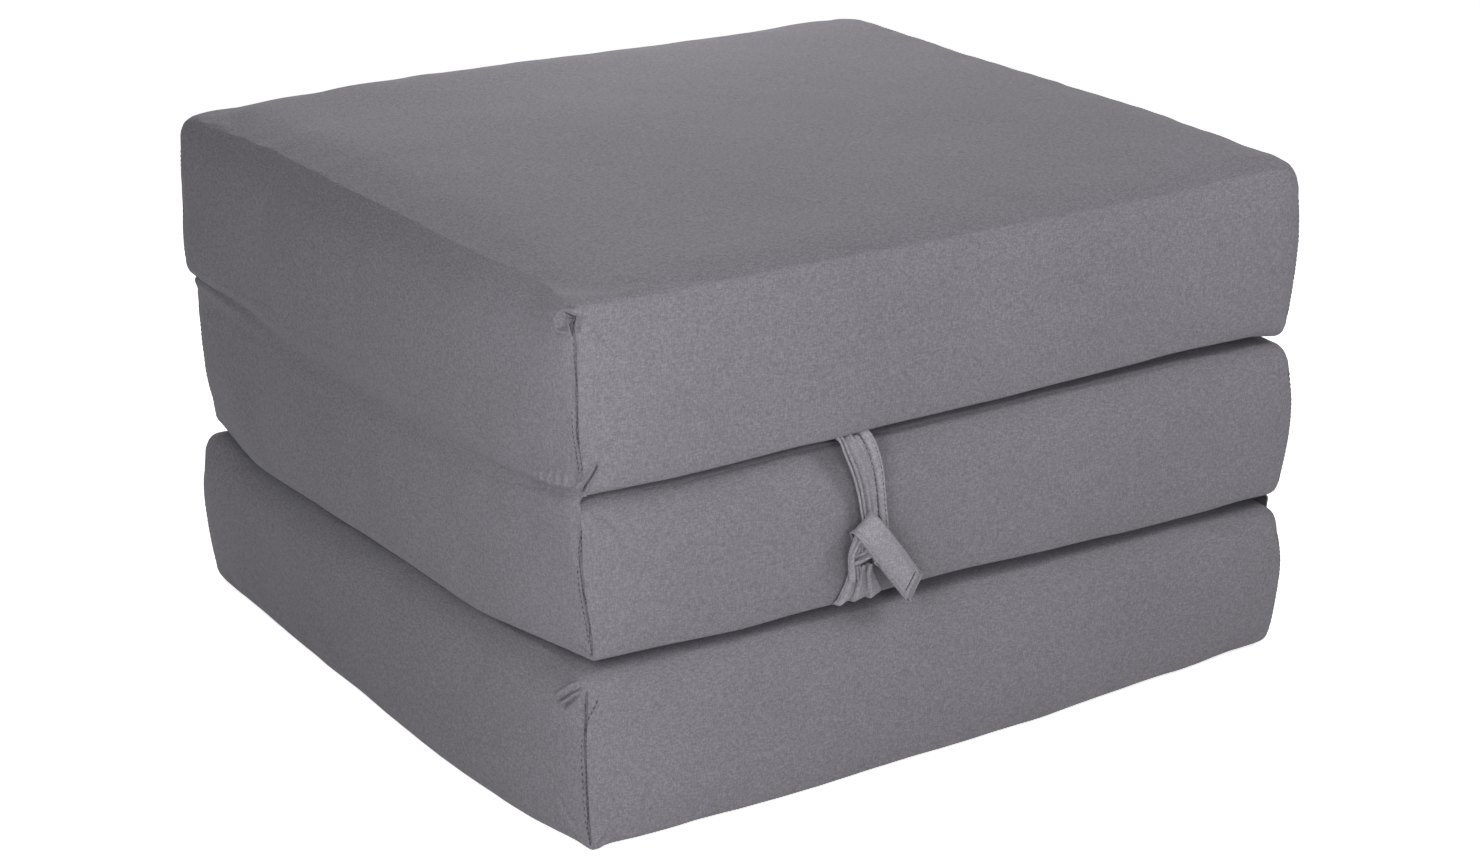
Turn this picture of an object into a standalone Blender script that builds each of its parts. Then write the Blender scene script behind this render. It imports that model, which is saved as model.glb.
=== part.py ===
"""Folding guest mattress: three zipped foam sections, folded in a Z into a stack and tied shut.

Metres, +Z up. The origin is the centre of the flat underside. +X runs along the side that the
ties are on, which faces -Y. The zips are in the opposite side, and the folds are at the two ends.
"""

import math

import bmesh
import bpy
from mathutils import Matrix, Vector

# One section of the mattress
section_length = 0.620
section_width = 0.586
section_pitch = 0.126
seat_gap = 0.0003
cloth = 0.0015
corner_inset = 0.012
lower_round = 0.008
shoulder = 0.020
end_bulge = 0.008
front_bulge = 0.004
crown = 0.007
edge_rise = 0.004
quarter_share = 0.5

# The cloth strips that the sections fold on
strip_short = 0.0015
strip_above = 0.018
strip_below = 0.032
strip_cloth = 0.0010
strip_gap = 0.0004
strip_valley = 0.0012
fold_ease = 0.0012

# The zip in the back of each section
zip_inset = 0.040
zip_chain = 0.0060
zip_tape_side = 0.0022
zip_tape_cloth = 0.0008
zip_tape_sewn = 0.0008
tooth_pitch = 0.0060
tooth_reach = 0.0015
tooth_depth = 0.0020
tooth_play = 0.00045
end_stop = 0.0040
tape_end = 0.0010
end_stop_height = 0.0022
end_stop_place = 0.0003
slider_length = 0.0110
slider_plate = 0.0012
slider_flange = 0.0011
slider_play = 0.0003
slider_side_play = 0.0004
slider_nose = 0.0005
slider_bridge = 0.0026
slider_bridge_half = 0.0016
bail_radius = 0.0008
bail_half = 0.0030
bail_bend = 0.0009
pull_ring = 0.0012
pull_length = 0.0260
pull_half = 0.0040
pull_neck = 0.0019
pull_neck_length = 0.0060
pull_metal = 0.0014
pull_hole = 0.0017

# The ties
tie_place = -0.090
tie_tuck = 0.0040
tie_root = 0.0005
tie_root_cloth = 0.0012
tie_cloth = 0.0024
tie_width = 0.027
tie_bow = 0.012
tie_bow_drop = 0.042
wall_ease = 0.0006
knot_shift = 0.006
knot_drop = 0.082
knot_width = 0.026
knot_depth = 0.017
knot_height = 0.016
knot_slope = 0.004
knot_core = 0.0035
tail_top_reach = 0.0205
tail_foot_reach = 0.0085
tail_top_side = -0.009
tail_top_above = 0.0215
tail_run = 0.046
tail_fall = 0.053
tail_width = 0.022
tail_cloth = 0.0045
fan_shift = 0.013
fan_width = 0.050
fan_neck = 0.019
fan_lean = 0.0020
fan_reach = 0.0085
fan_cloth = 0.0020
fan_root_cloth = 0.0012

# Sections of the straps, as shares of their width and cloth: a hemmed one with ridges along it, a
# plain one, and a pleated one that is flat at the back
hemmed_shares = (
    (-0.50, 0.0), (-0.47, 0.5), (-0.40, 0.6), (-0.32, 0.3), (-0.22, 0.3), (-0.15, 0.6), (-0.08, 0.3),
    (0.30, 0.3), (0.38, 0.6), (0.46, 0.5), (0.50, 0.0), (0.42, -0.5), (-0.42, -0.5),
)
plain_shares = ((-0.50, 0.0), (-0.42, 0.5), (0.42, 0.5), (0.50, 0.0), (0.42, -0.5), (-0.42, -0.5))
pleated_shares = (
    (-0.50, -0.3), (-0.44, 0.3), (-0.36, 0.4), (-0.29, -0.2), (-0.20, 0.5), (-0.12, 0.5), (-0.04, -0.2),
    (0.07, 0.4), (0.16, 0.5), (0.22, -0.1), (0.33, 0.5), (0.43, 0.4), (0.50, -0.3), (0.40, -0.5),
    (-0.40, -0.5),
)

# Stations down the straps: (bow, reach, drop, width, cloth) from the root to the knot, (drop, width,
# cloth) inside the knot, (run, fall, width) along the free end and (shift, reach, rise, width,
# cloth) up the pleated strap
strap_shares = (
    (0.00, -1.00, 0.025, 1.00, 0.70),
    (0.00, 0.50, 0.070, 1.00, 0.90),
    (0.20, 1.00, 0.170, 1.00, 1.00),
    (0.85, 1.00, 0.600, 0.96, 1.00),
    (1.00, 1.00, 1.000, 0.92, 1.00),
    (0.80, 1.50, 1.350, 0.84, 1.20),
)
core_shares = ((0.50, 0.70, 0.60), (0.00, 0.80, 1.00), (-0.42, 0.60, 0.80))
tail_shares = (
    (0.10, 0.15, 0.90),
    (0.00, 0.00, 0.98),
    (0.12, 0.14, 1.00),
    (0.55, 0.55, 1.00),
    (1.00, 1.00, 1.00),
)
tail_start_share = 0.70
fan_shares = (
    (1.00, -1.20, 0.00, 1.00, 0.80),
    (1.00, 0.80, 0.00, 1.00, 1.00),
    (1.00, 1.50, 0.15, 0.94, 1.30),
    (0.85, 1.90, 0.50, 0.70, 1.90),
    (0.55, 3.20, 0.80, 0.48, 2.60),
)
fan_top_share = 3.0
strap_steps = 3
knot_sides = 14

overrun = 0.004
hair = 1e-6
sharp_degrees = 40

section_height = section_pitch - seat_gap
zip_length = section_length - 2 * zip_inset
half_length = section_length / 2
half_width = section_width / 2
fold_reach = half_length + end_bulge + fold_ease
front_wall = -half_width - front_bulge + wall_ease
zip_level = (lower_round + section_height - shoulder) / 2
slot_half = zip_chain / 2 + zip_tape_side + seat_gap
tape_middle = half_width - cloth / 2
channel_half = tooth_depth / 2 + slider_play
strip_half = half_width - corner_inset - strip_short
slider_top = channel_half + slider_plate
eye_bore = bail_radius + seat_gap
eye_radius = eye_bore + pull_ring
bail_height = slider_top + seat_gap + eye_radius
stop_end = zip_length / 2 - tape_end
slider_rest = stop_end - end_stop - seat_gap - slider_length / 2
teeth_end = slider_rest + slider_length / 2 - slider_bridge - slider_play
zip_room = cloth / 2 + slider_top + seat_gap
fan_rise = section_pitch - knot_drop - knot_height / 2 - knot_slope - seat_gap - fan_lean


def drawn_collection(name):
    made = bpy.data.collections.new(name)
    bpy.context.scene.collection.children.link(made)
    return made


def finish_of(name, colour, roughness, metallic=0.0):
    made = bpy.data.materials.new(name)
    made.use_nodes = True
    shader = made.node_tree.nodes["Principled BSDF"]
    shader.inputs["Base Color"].default_value = (*colour, 1.0)
    shader.inputs["Roughness"].default_value = roughness
    shader.inputs["Metallic"].default_value = metallic
    return made


def woven_grey(name):
    return finish_of(name, (0.19, 0.185, 0.20), 0.85)


def dark_nylon(name):
    return finish_of(name, (0.075, 0.074, 0.080), 0.55)


def grey_zinc(name):
    return finish_of(name, (0.20, 0.20, 0.21), 0.40, 1.0)


def cream_foam(name):
    return finish_of(name, (0.80, 0.74, 0.58), 0.95)


def object_of(name, mesh, collection, finish):
    made = bpy.data.objects.new(name, mesh)
    collection.objects.link(made)
    if finish:
        mesh.materials.append(finish(name))
    return made


def axis_empty(name, place):
    """An empty on the axis that a moving piece turns or slides on."""
    made = bpy.data.objects.new(name, None)
    parts.objects.link(made)
    made.empty_display_size = strip_above
    made.location = place
    return made


def carry(carrier, items):
    """Parents the items to their carrier and leaves them where they are."""
    bpy.context.view_layer.update()
    for item in items:
        item.parent = carrier
        item.matrix_parent_inverse = carrier.matrix_world.inverted()


def mesh_of(shape, name):
    bmesh.ops.recalc_face_normals(shape, faces=shape.faces)
    mesh = bpy.data.meshes.new(name)
    shape.to_mesh(mesh)
    shape.free()
    return mesh


def subdivide(item):
    made = item.modifiers.new("Soft form", "SUBSURF")
    made.levels = 1
    made.render_levels = 1


def boolean(item, operation, other):
    made = item.modifiers.new(other.name, "BOOLEAN")
    made.operation = operation
    made.object = other


def settle(item):
    """Makes what the modifiers give the object's own mesh."""
    graph = bpy.context.evaluated_depsgraph_get()
    mesh = bpy.data.meshes.new_from_object(item.evaluated_get(graph))
    item.modifiers.clear()
    item.data = mesh


def round_off(item):
    """Shades the item smooth, apart from its edges."""
    item.data.shade_smooth()
    item.data.set_sharp_from_angle(angle=math.radians(sharp_degrees))


def mesh_of_curve(curve):
    """The mesh of a curve, with its caps welded on and every face outwards."""
    holder = bpy.data.objects.new(curve.name, curve)
    bpy.context.scene.collection.objects.link(holder)
    graph = bpy.context.evaluated_depsgraph_get()
    mesh = bpy.data.meshes.new_from_object(holder.evaluated_get(graph))
    bpy.data.objects.remove(holder)
    shape = bmesh.new()
    shape.from_mesh(mesh)
    bmesh.ops.remove_doubles(shape, verts=shape.verts, dist=hair)
    return mesh_of(shape, curve.name)


def plate_of(name, outlines, thickness):
    """A flat plate in the XY plane, from its outline and the outlines of its holes."""
    curve = bpy.data.curves.new(name, "CURVE")
    curve.dimensions = "2D"
    curve.fill_mode = "BOTH"
    curve.extrude = thickness / 2
    for outline in outlines:
        spline = curve.splines.new("POLY")
        spline.points.add(len(outline) - 1)
        for point, (x, y) in zip(spline.points, outline):
            point.co = (x, y, 0, 1)
        spline.use_cyclic_u = True
    return mesh_of_curve(curve)


def arc(centre, radius, start, end, steps):
    turns = [start + (end - start) * step / steps for step in range(steps + 1)]
    return [(centre[0] + radius * math.cos(a), centre[1] + radius * math.sin(a)) for a in turns]


def box_cage(low, high, cuts):
    """A box from its low corner to its high one, with its faces cut at the places given on each axis."""
    cage = bmesh.new()
    bmesh.ops.create_cube(cage, size=1.0)
    bmesh.ops.scale(cage, vec=high - low, verts=cage.verts)
    bmesh.ops.translate(cage, vec=(low + high) / 2, verts=cage.verts)
    for axis, places in enumerate(cuts):
        normal = Vector((0, 0, 0))
        normal[axis] = 1
        for place in places:
            whole = cage.verts[:] + cage.edges[:] + cage.faces[:]
            bmesh.ops.bisect_plane(cage, geom=whole, plane_co=normal * place, plane_no=normal)
    return cage


def section_cuts(half):
    quarter = half * quarter_share
    near_edge = half - corner_inset
    return (-near_edge, -quarter, 0, quarter, near_edge)


def swell(cage, crowned):
    """Bows the ends and the tie side out between their corners, and crowns the face that is slept on."""
    for vert in cage.verts:
        along = vert.co.x / half_length
        across = vert.co.y / half_width
        if abs(along) > 1 - hair:
            vert.co.x += math.copysign(end_bulge * (1 - across**2), along)
        if across < -1 + hair:
            vert.co.y -= front_bulge * (1 - along**2)
        if crowned and vert.co.z > section_height - hair:
            vert.co.z += crown * (1 - along**2) * (1 - across**2)
            vert.co.z += edge_rise * (1 - (along * across) ** 2)


def open_for_panel(cage, height):
    """Takes out the faces that the base panel covers, and keeps the corners of the opening square."""
    inner_x = half_length - corner_inset
    inner_y = half_width - corner_inset
    covered = []
    for face in cage.faces:
        middle = face.calc_center_median()
        level = abs(middle.z - height) < hair
        if level and abs(middle.x) < inner_x and abs(middle.y) < inner_y:
            covered.append(face)
    bmesh.ops.delete(cage, geom=covered, context="FACES")
    crease = cage.verts.layers.float.new("crease_vert")
    for vert in cage.verts:
        x, y, z = vert.co
        if abs(z - height) < hair and abs(abs(x) - inner_x) < hair and abs(abs(y) - inner_y) < hair:
            vert[crease] = 1.0


def zip_slot_cutter(prefix, base):
    low = Vector((-zip_length / 2 - seat_gap, half_width - cloth - overrun, zip_level - slot_half))
    high = Vector((zip_length / 2 + seat_gap, half_width + overrun, zip_level + slot_half))
    slot = mesh_of(box_cage(low, high, ()), "zip_slot")
    cutter = object_of(prefix + "_zip_slot", slot, cutters, None)
    cutter.location.z = base
    cutter.display_type = "WIRE"
    cutter.hide_render = True
    return cutter


def make_cover(prefix, base, crowned, opens_up):
    """The cloth sleeve: a soft shell, open where the base panel is sewn in and at the zip."""
    low = Vector((-half_length, -half_width, 0))
    high = Vector((half_length, half_width, section_height))
    levels = (lower_round, section_height - shoulder)
    cage = box_cage(low, high, (section_cuts(half_length), section_cuts(half_width), levels))
    swell(cage, crowned)
    open_for_panel(cage, section_height if opens_up else 0)
    cover = object_of(prefix + "_cover", mesh_of(cage, "cover"), parts, woven_grey)
    cover.location.z = base
    cover.data.shade_smooth()
    subdivide(cover)
    wall = cover.modifiers.new("Cloth", "SOLIDIFY")
    wall.thickness = cloth
    wall.offset = -1.0
    cutter = zip_slot_cutter(prefix, base)
    boolean(cover, "DIFFERENCE", cutter)
    return [cover, cutter]


def make_base_panel(prefix, base, opens_up):
    """The flat piece of cloth that closes the sleeve on the side that isn't slept on."""
    reach = Vector((half_length, half_width, 0)) - Vector((1, 1, 0)) * (corner_inset + seat_gap)
    floor = section_height - cloth if opens_up else 0
    low = Vector((-reach.x, -reach.y, floor))
    high = Vector((reach.x, reach.y, floor + cloth))
    cloth_piece = mesh_of(box_cage(low, high, ()), "panel")
    panel = object_of(prefix + "_base_panel", cloth_piece, parts, woven_grey)
    panel.location.z = base
    return panel


def make_foam_core(prefix, base):
    """The foam block, cut a little short at the back to leave the zip its room."""
    inside = cloth + seat_gap
    low = Vector((inside - half_length, inside - half_width, inside))
    high = Vector((half_length - inside, half_width - zip_room, section_height - inside))
    near_ends = (low.x + corner_inset, high.x - corner_inset)
    near_sides = (low.y + corner_inset, high.y - corner_inset)
    levels = (low.z + lower_round, high.z - shoulder)
    cage = box_cage(low, high, (near_ends, near_sides, levels))
    core = object_of(prefix + "_foam_core", mesh_of(cage, "core"), parts, cream_foam)
    core.location.z = base
    core.data.shade_smooth()
    subdivide(core)
    return core


def make_hinge_strip(name, fold_height, side):
    """The cloth that two sections fold on: it follows the bow of the end walls and dips in at the fold."""
    strip = bmesh.new()
    rise = strip_above + strip_below
    bmesh.ops.create_grid(strip, x_segments=4, y_segments=4, size=0.5)
    for vert in strip.verts:
        along = vert.co.x * 2 * strip_half
        up = vert.co.y * rise + (strip_above - strip_below) / 2
        bow = end_bulge * (1 - (along / half_width) ** 2)
        dip = strip_valley if abs(vert.co.y) < hair else 0
        reach = half_length + bow - dip + strip_gap
        vert.co = (side * reach, along, fold_height + up)
    bmesh.ops.recalc_face_normals(strip, faces=strip.faces)
    if strip.faces[:][0].normal.x * side < 0:
        bmesh.ops.reverse_faces(strip, faces=strip.faces)
    mesh = bpy.data.meshes.new("strip")
    strip.to_mesh(mesh)
    strip.free()
    made = object_of(name, mesh, parts, woven_grey)
    made.data.shade_smooth()
    subdivide(made)
    wall = made.modifiers.new("Cloth", "SOLIDIFY")
    wall.thickness = strip_cloth
    wall.offset = 1.0
    return made


def tooth_edge():
    """The zigzag where the two rows of teeth meet, from the bottom stop to the slider, as (x, height)."""
    start = -stop_end + end_stop
    count = int((teeth_end - start) / tooth_pitch)
    points = [(start, 0)]
    for tooth in range(count):
        left = start + tooth * tooth_pitch
        points.append((left + tooth_pitch / 4, tooth_reach))
        points.append((left + 3 * tooth_pitch / 4, -tooth_reach))
    points.append((start + count * tooth_pitch, 0))
    return points


def stand_up(mesh, base):
    """Turns a plate drawn flat to stand in the zip's plane, with its first side along +X and its top up."""
    place = Matrix.Translation((0, tape_middle, base + zip_level))
    mesh.transform(place @ Matrix.Rotation(math.pi / 2, 4, "X"))


def slab_of(outline, thickness):
    """A flat plate in the XY plane, from its outline, with one face on each side."""
    shape = bmesh.new()
    face = shape.faces.new([shape.verts.new((x, y, -thickness / 2)) for x, y in outline])
    pushed = bmesh.ops.extrude_face_region(shape, geom=[face])["geom"]
    lifted = [item for item in pushed if isinstance(item, bmesh.types.BMVert)]
    bmesh.ops.translate(shape, vec=(0, 0, thickness), verts=lifted)
    return mesh_of(shape, "slab")


def zip_block(base, ends, heights, thickness):
    """A block in the zip's plane, from its two ends along X and its two heights."""
    level = base + zip_level
    low = Vector((ends[0], tape_middle - thickness / 2, level + min(heights)))
    high = Vector((ends[1], tape_middle + thickness / 2, level + max(heights)))
    return mesh_of(box_cage(low, high, ()), "zip")


def make_zip_tape(prefix, base, side):
    """One cloth tape of the zip with its row of teeth, its bottom stop and its top stop."""
    name = prefix + ("_zip_upper_tape" if side > 0 else "_zip_lower_tape")
    ends = (-zip_length / 2, zip_length / 2)
    outer = side * (slot_half - seat_gap)
    spine = side * (zip_chain / 2)
    inner = side * (zip_chain / 2 - zip_tape_sewn)
    edge = [(x, height + side * tooth_play / 2) for x, height in tooth_edge()]
    bottom = [(-stop_end, spine), (-stop_end, side * tooth_play / 2)]
    teeth = slab_of(bottom + edge + [(edge[-1][0], spine)], tooth_depth)
    stand_up(teeth, base)
    stop_heights = (side * end_stop_place, side * (end_stop_place + end_stop_height))
    stop = zip_block(base, (stop_end - end_stop, stop_end), stop_heights, tooth_depth)
    tape = object_of(name, zip_block(base, ends, (inner, outer), zip_tape_cloth), parts, dark_nylon)
    fuse(tape, [teeth, stop])
    return tape


def fuse(item, meshes):
    """Joins the meshes to the object by Boolean unions and leaves one mesh."""
    others = []
    for count, mesh in enumerate(meshes):
        other = object_of(item.name + "_joined_" + str(count), mesh, cutters, None)
        boolean(item, "UNION", other)
        others.append(other)
    settle(item)
    for other in others:
        bpy.data.objects.remove(other)


def channel_outline(side):
    """Half of the slider seen along the zip: a plate with flanges that leave the tape a slot."""
    inner = zip_chain / 2 + slider_side_play
    outer = inner + slider_flange
    lip = zip_tape_cloth / 2 + slider_play
    points = [(-outer, lip), (-inner, lip), (-inner, channel_half), (inner, channel_half), (inner, lip)]
    points += [(outer, lip), (outer, slider_top), (-outer, slider_top)]
    return [(x, side * y) for x, y in points]


def bail_mesh():
    """The wire loop on the slider that the pull turns on: two legs and a straight bar along Z."""
    curve = bpy.data.curves.new("bail", "CURVE")
    curve.dimensions = "3D"
    curve.bevel_depth = bail_radius
    curve.bevel_resolution = 2
    curve.use_fill_caps = True
    corner = bail_height - bail_bend
    side = bail_half - bail_bend
    path = [(bail_half, channel_half + slider_plate / 2)]
    path += arc((side, corner), bail_bend, 0, math.pi / 2, 3)
    path += arc((-side, corner), bail_bend, math.pi / 2, math.pi, 3)
    path += [(-bail_half, channel_half + slider_plate / 2)]
    spline = curve.splines.new("POLY")
    spline.points.add(len(path) - 1)
    for point, (up, out) in zip(spline.points, path):
        point.co = (0, out, up, 1)
    return mesh_of_curve(curve)


def make_zip_slider(prefix, base):
    """The slider: two channelled plates, wider at the nose, and the wedge that parts the teeth."""
    nose = slider_length / 2
    edge_on = Matrix(((0, 0, 1, 0), (0, 1, 0, 0), (1, 0, 0, 0), (0, 0, 0, 1)))
    halves = []
    for side in (1, -1):
        mesh = plate_of("slider", [channel_outline(side)], slider_length)
        mesh.transform(edge_on)
        for vert in mesh.vertices:
            if vert.co.x > 0:
                vert.co.z += math.copysign(slider_nose, vert.co.z)
        halves.append(mesh)
    wedge = [(nose - slider_bridge, 0), (nose, slider_bridge_half), (nose, -slider_bridge_half)]
    bridge = plate_of("bridge", [wedge], 2 * channel_half + slider_plate)
    bridge.transform(Matrix.Rotation(math.pi / 2, 4, "X"))
    slider = object_of(prefix + "_zip_slider", halves[0], parts, grey_zinc)
    fuse(slider, [bridge, halves[1], bail_mesh()])
    round_off(slider)
    slider.location = (slider_rest, tape_middle, base + zip_level)
    return slider


def make_zip_pull(prefix, base):
    """The pull tab: an eye round the bail's bar and a flat tab with a hole near its round end."""
    end = pull_length
    tab = arc((end - pull_half, 0), pull_half, math.pi / 2, -math.pi / 2, 10)
    tab += [(pull_neck_length, -pull_half), (eye_radius, -pull_neck), (eye_bore + pull_ring / 2, -pull_neck)]
    tab += [(eye_bore + pull_ring / 2, pull_neck), (eye_radius, pull_neck), (pull_neck_length, pull_half)]
    hole = arc((end - pull_half, 0), pull_hole, 0, 2 * math.pi, 12)[:-1]
    leaf = plate_of("pull", [tab, hole], pull_metal)
    ring = [arc((0, 0), eye_radius, 0, 2 * math.pi, 20)[:-1], arc((0, 0), eye_bore, 0, 2 * math.pi, 16)[:-1]]
    eye = plate_of("eye", ring, 2 * pull_neck)
    eye.transform(Matrix.Rotation(math.pi / 2, 4, "X"))
    pull = object_of(prefix + "_zip_pull", leaf, parts, grey_zinc)
    fuse(pull, [eye])
    laid_back = Matrix.Rotation(math.pi, 4, "Z") @ Matrix.Rotation(math.pi / 2, 4, "X")
    pull.data.transform(laid_back)
    round_off(pull)
    pull.location = (slider_rest, tape_middle + bail_height, base + zip_level)
    return pull


def smooth_course(stations):
    """Stations between the given ones, on a curve that passes through them."""
    padded = [stations[0]] + list(stations) + [stations[-1]]
    course = []
    for four in zip(padded, padded[1:], padded[2:], padded[3:]):
        for step in range(strap_steps):
            course.append([catmull(*values, step / strap_steps) for values in zip(*four)])
    course.append(list(stations[-1]))
    return course


def catmull(p, q, r, s, t):
    return q + t / 2 * ((r - p) + t * ((2 * p - 5 * q + 4 * r - s) + t * (3 * (q - r) + s - p)))


def strap_mesh(course, across, outline_shares, closed=False):
    """A strap lofted along stations of (x, y, z, width, cloth), with across as its width's direction."""
    shape = bmesh.new()
    rings = []
    count = len(course)
    for place, station in enumerate(course):
        before = Vector(course[(place - 1) % count if closed else max(place - 1, 0)][:3])
        after = Vector(course[(place + 1) % count if closed else min(place + 1, count - 1)][:3])
        tangent = (after - before).normalized()
        wide = (across - tangent * across.dot(tangent)).normalized()
        through = tangent.cross(wide)
        centre = Vector(station[:3])
        width, thick = station[3:]
        ring = []
        for sideways, outwards in outline_shares:
            ring.append(shape.verts.new(centre + wide * width * sideways + through * thick * outwards))
        rings.append(ring)
    pairs = zip(rings, rings[1:] + rings[:1]) if closed else zip(rings, rings[1:])
    for ring, following in pairs:
        for corner in range(len(ring)):
            other = (corner + 1) % len(ring)
            shape.faces.new((ring[corner], ring[other], following[other], following[corner]))
    if not closed:
        shape.faces.new(rings[0])
        shape.faces.new(rings[-1])
    return mesh_of(shape, "strap")


def on_tie_side(x, out, z):
    return (tie_place + x, front_wall - out, z)


def upper_strap():
    """From its sewn root under the top section, over the middle one's shoulder and into the knot."""
    fold = 2 * section_pitch
    lies = seat_gap + tie_cloth / 2
    knot_middle = seat_gap + knot_depth / 2
    core = knot_depth - 2 * knot_core
    stations = [(*on_tie_side(0, -tie_tuck, fold - tie_root), tie_width, tie_root_cloth)]
    for bow, reach, drop, width, thick in strap_shares:
        place = on_tie_side(tie_bow * bow, lies * reach, fold - tie_bow_drop * drop)
        stations.append((*place, tie_width * width, tie_cloth * thick))
    for drop, width, thick in core_shares:
        place = on_tie_side(knot_shift, knot_middle, fold - knot_drop + knot_height * drop)
        stations.append((*place, knot_width * width, core * thick))
    return strap_mesh(smooth_course(stations), Vector((1, 0, 0)), hemmed_shares)


def knot_turn():
    """The turn of the strap round the knot, a flattened ring that slopes down to the right."""
    middle = Vector(on_tie_side(knot_shift, seat_gap + knot_depth / 2, 2 * section_pitch - knot_drop))
    reach = (knot_width - tie_cloth) / 2
    depth = (knot_depth - tie_cloth) / 2
    course = []
    for step in range(knot_sides):
        turn = 2 * math.pi * step / knot_sides
        offset = Vector((reach * math.cos(turn), depth * math.sin(turn), -knot_slope * math.cos(turn)))
        course.append((*(middle + offset), knot_height, tie_cloth))
    return strap_mesh(course, Vector((knot_slope / reach, 0, 1)), plain_shares, closed=True)


def tail_strap():
    """The free end: up out of the knot, folded over its top edge and hanging down to the right."""
    middle = 2 * section_pitch - knot_drop
    top = middle + tail_top_above
    inner = seat_gap + knot_depth / 2
    belly = (tail_top_reach + tail_foot_reach) / 2 + tie_cloth
    reaches = (inner, (inner + tail_top_reach) / 2, tail_top_reach, belly, tail_foot_reach)
    stations = [(*on_tie_side(knot_shift, inner, middle), tail_width * tail_start_share, tail_cloth)]
    for (run, fall, width), reach in zip(tail_shares, reaches):
        place = on_tie_side(knot_shift + tail_top_side + tail_run * run, reach, top - tail_fall * fall)
        stations.append((*place, tail_width * width, tail_cloth))
    return strap_mesh(smooth_course(stations), Vector((tail_fall, 0, tail_run)), plain_shares)


def make_upper_tie():
    tie = object_of("upper_tie", upper_strap(), parts, woven_grey)
    fuse(tie, [knot_turn(), tail_strap()])
    round_off(tie)
    return tie


def make_lower_tie():
    """From its sewn root on the bottom section up to the knot, gathered into pleats."""
    fold = section_pitch
    lies = seat_gap + fan_cloth / 2
    stations = [(*on_tie_side(fan_shift, -tie_tuck, fold - tie_root), fan_width, fan_root_cloth)]
    for shift, reach, rise, width, thick in fan_shares:
        place = on_tie_side(fan_shift * shift, lies * reach, fold - tie_root + fan_rise * rise)
        stations.append((*place, fan_width * width, fan_cloth * thick))
    place = on_tie_side(knot_shift, fan_reach, fold + fan_rise)
    stations.append((*place, fan_neck, fan_cloth * fan_top_share))
    mesh = strap_mesh(smooth_course(stations), Vector((-1, 0, 0)), pleated_shares)
    tie = object_of("lower_tie", mesh, parts, woven_grey)
    round_off(tie)
    return tie


def make_section(prefix, base, crowned, flipped):
    """One zipped section: what its body carries, its slider on the zip and the pull on the slider."""
    carried = make_cover(prefix, base, crowned, flipped)
    carried.append(make_base_panel(prefix, base, flipped))
    carried.append(make_foam_core(prefix, base))
    carried.append(make_zip_tape(prefix, base, 1))
    carried.append(make_zip_tape(prefix, base, -1))
    slider = make_zip_slider(prefix, base)
    carry(slider, [make_zip_pull(prefix, base)])
    return carried + [slider]


for startup_object in list(bpy.data.objects):
    bpy.data.objects.remove(startup_object)

parts = drawn_collection("folding_mattress")
cutters = drawn_collection("cutters")
cutters.hide_render = True

lower_fold = axis_empty("lower_fold", (fold_reach, 0, section_pitch - seat_gap / 2))
upper_fold = axis_empty("upper_fold", (-fold_reach, 0, 2 * section_pitch - seat_gap / 2))
lower_root = axis_empty("lower_tie_root", on_tie_side(fan_shift, 0, section_pitch - tie_root))
upper_root = axis_empty("upper_tie_root", on_tie_side(0, 0, 2 * section_pitch - tie_root))

make_section("bottom", 0, crowned=False, flipped=False)
make_hinge_strip("lower_hinge_strip", section_pitch, 1)
carry(lower_root, [make_lower_tie()])

middle_pieces = make_section("middle", section_pitch, crowned=False, flipped=True)
middle_pieces.append(make_hinge_strip("upper_hinge_strip", 2 * section_pitch, -1))
carry(lower_fold, middle_pieces + [upper_fold])

carry(upper_root, [make_upper_tie()])
carry(upper_fold, make_section("top", 2 * section_pitch, crowned=True, flipped=False) + [upper_root])
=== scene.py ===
import math

import bmesh
import bpy
import numpy as np
from mathutils import Matrix, Vector
from mathutils.bvhtree import BVHTree


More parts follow.
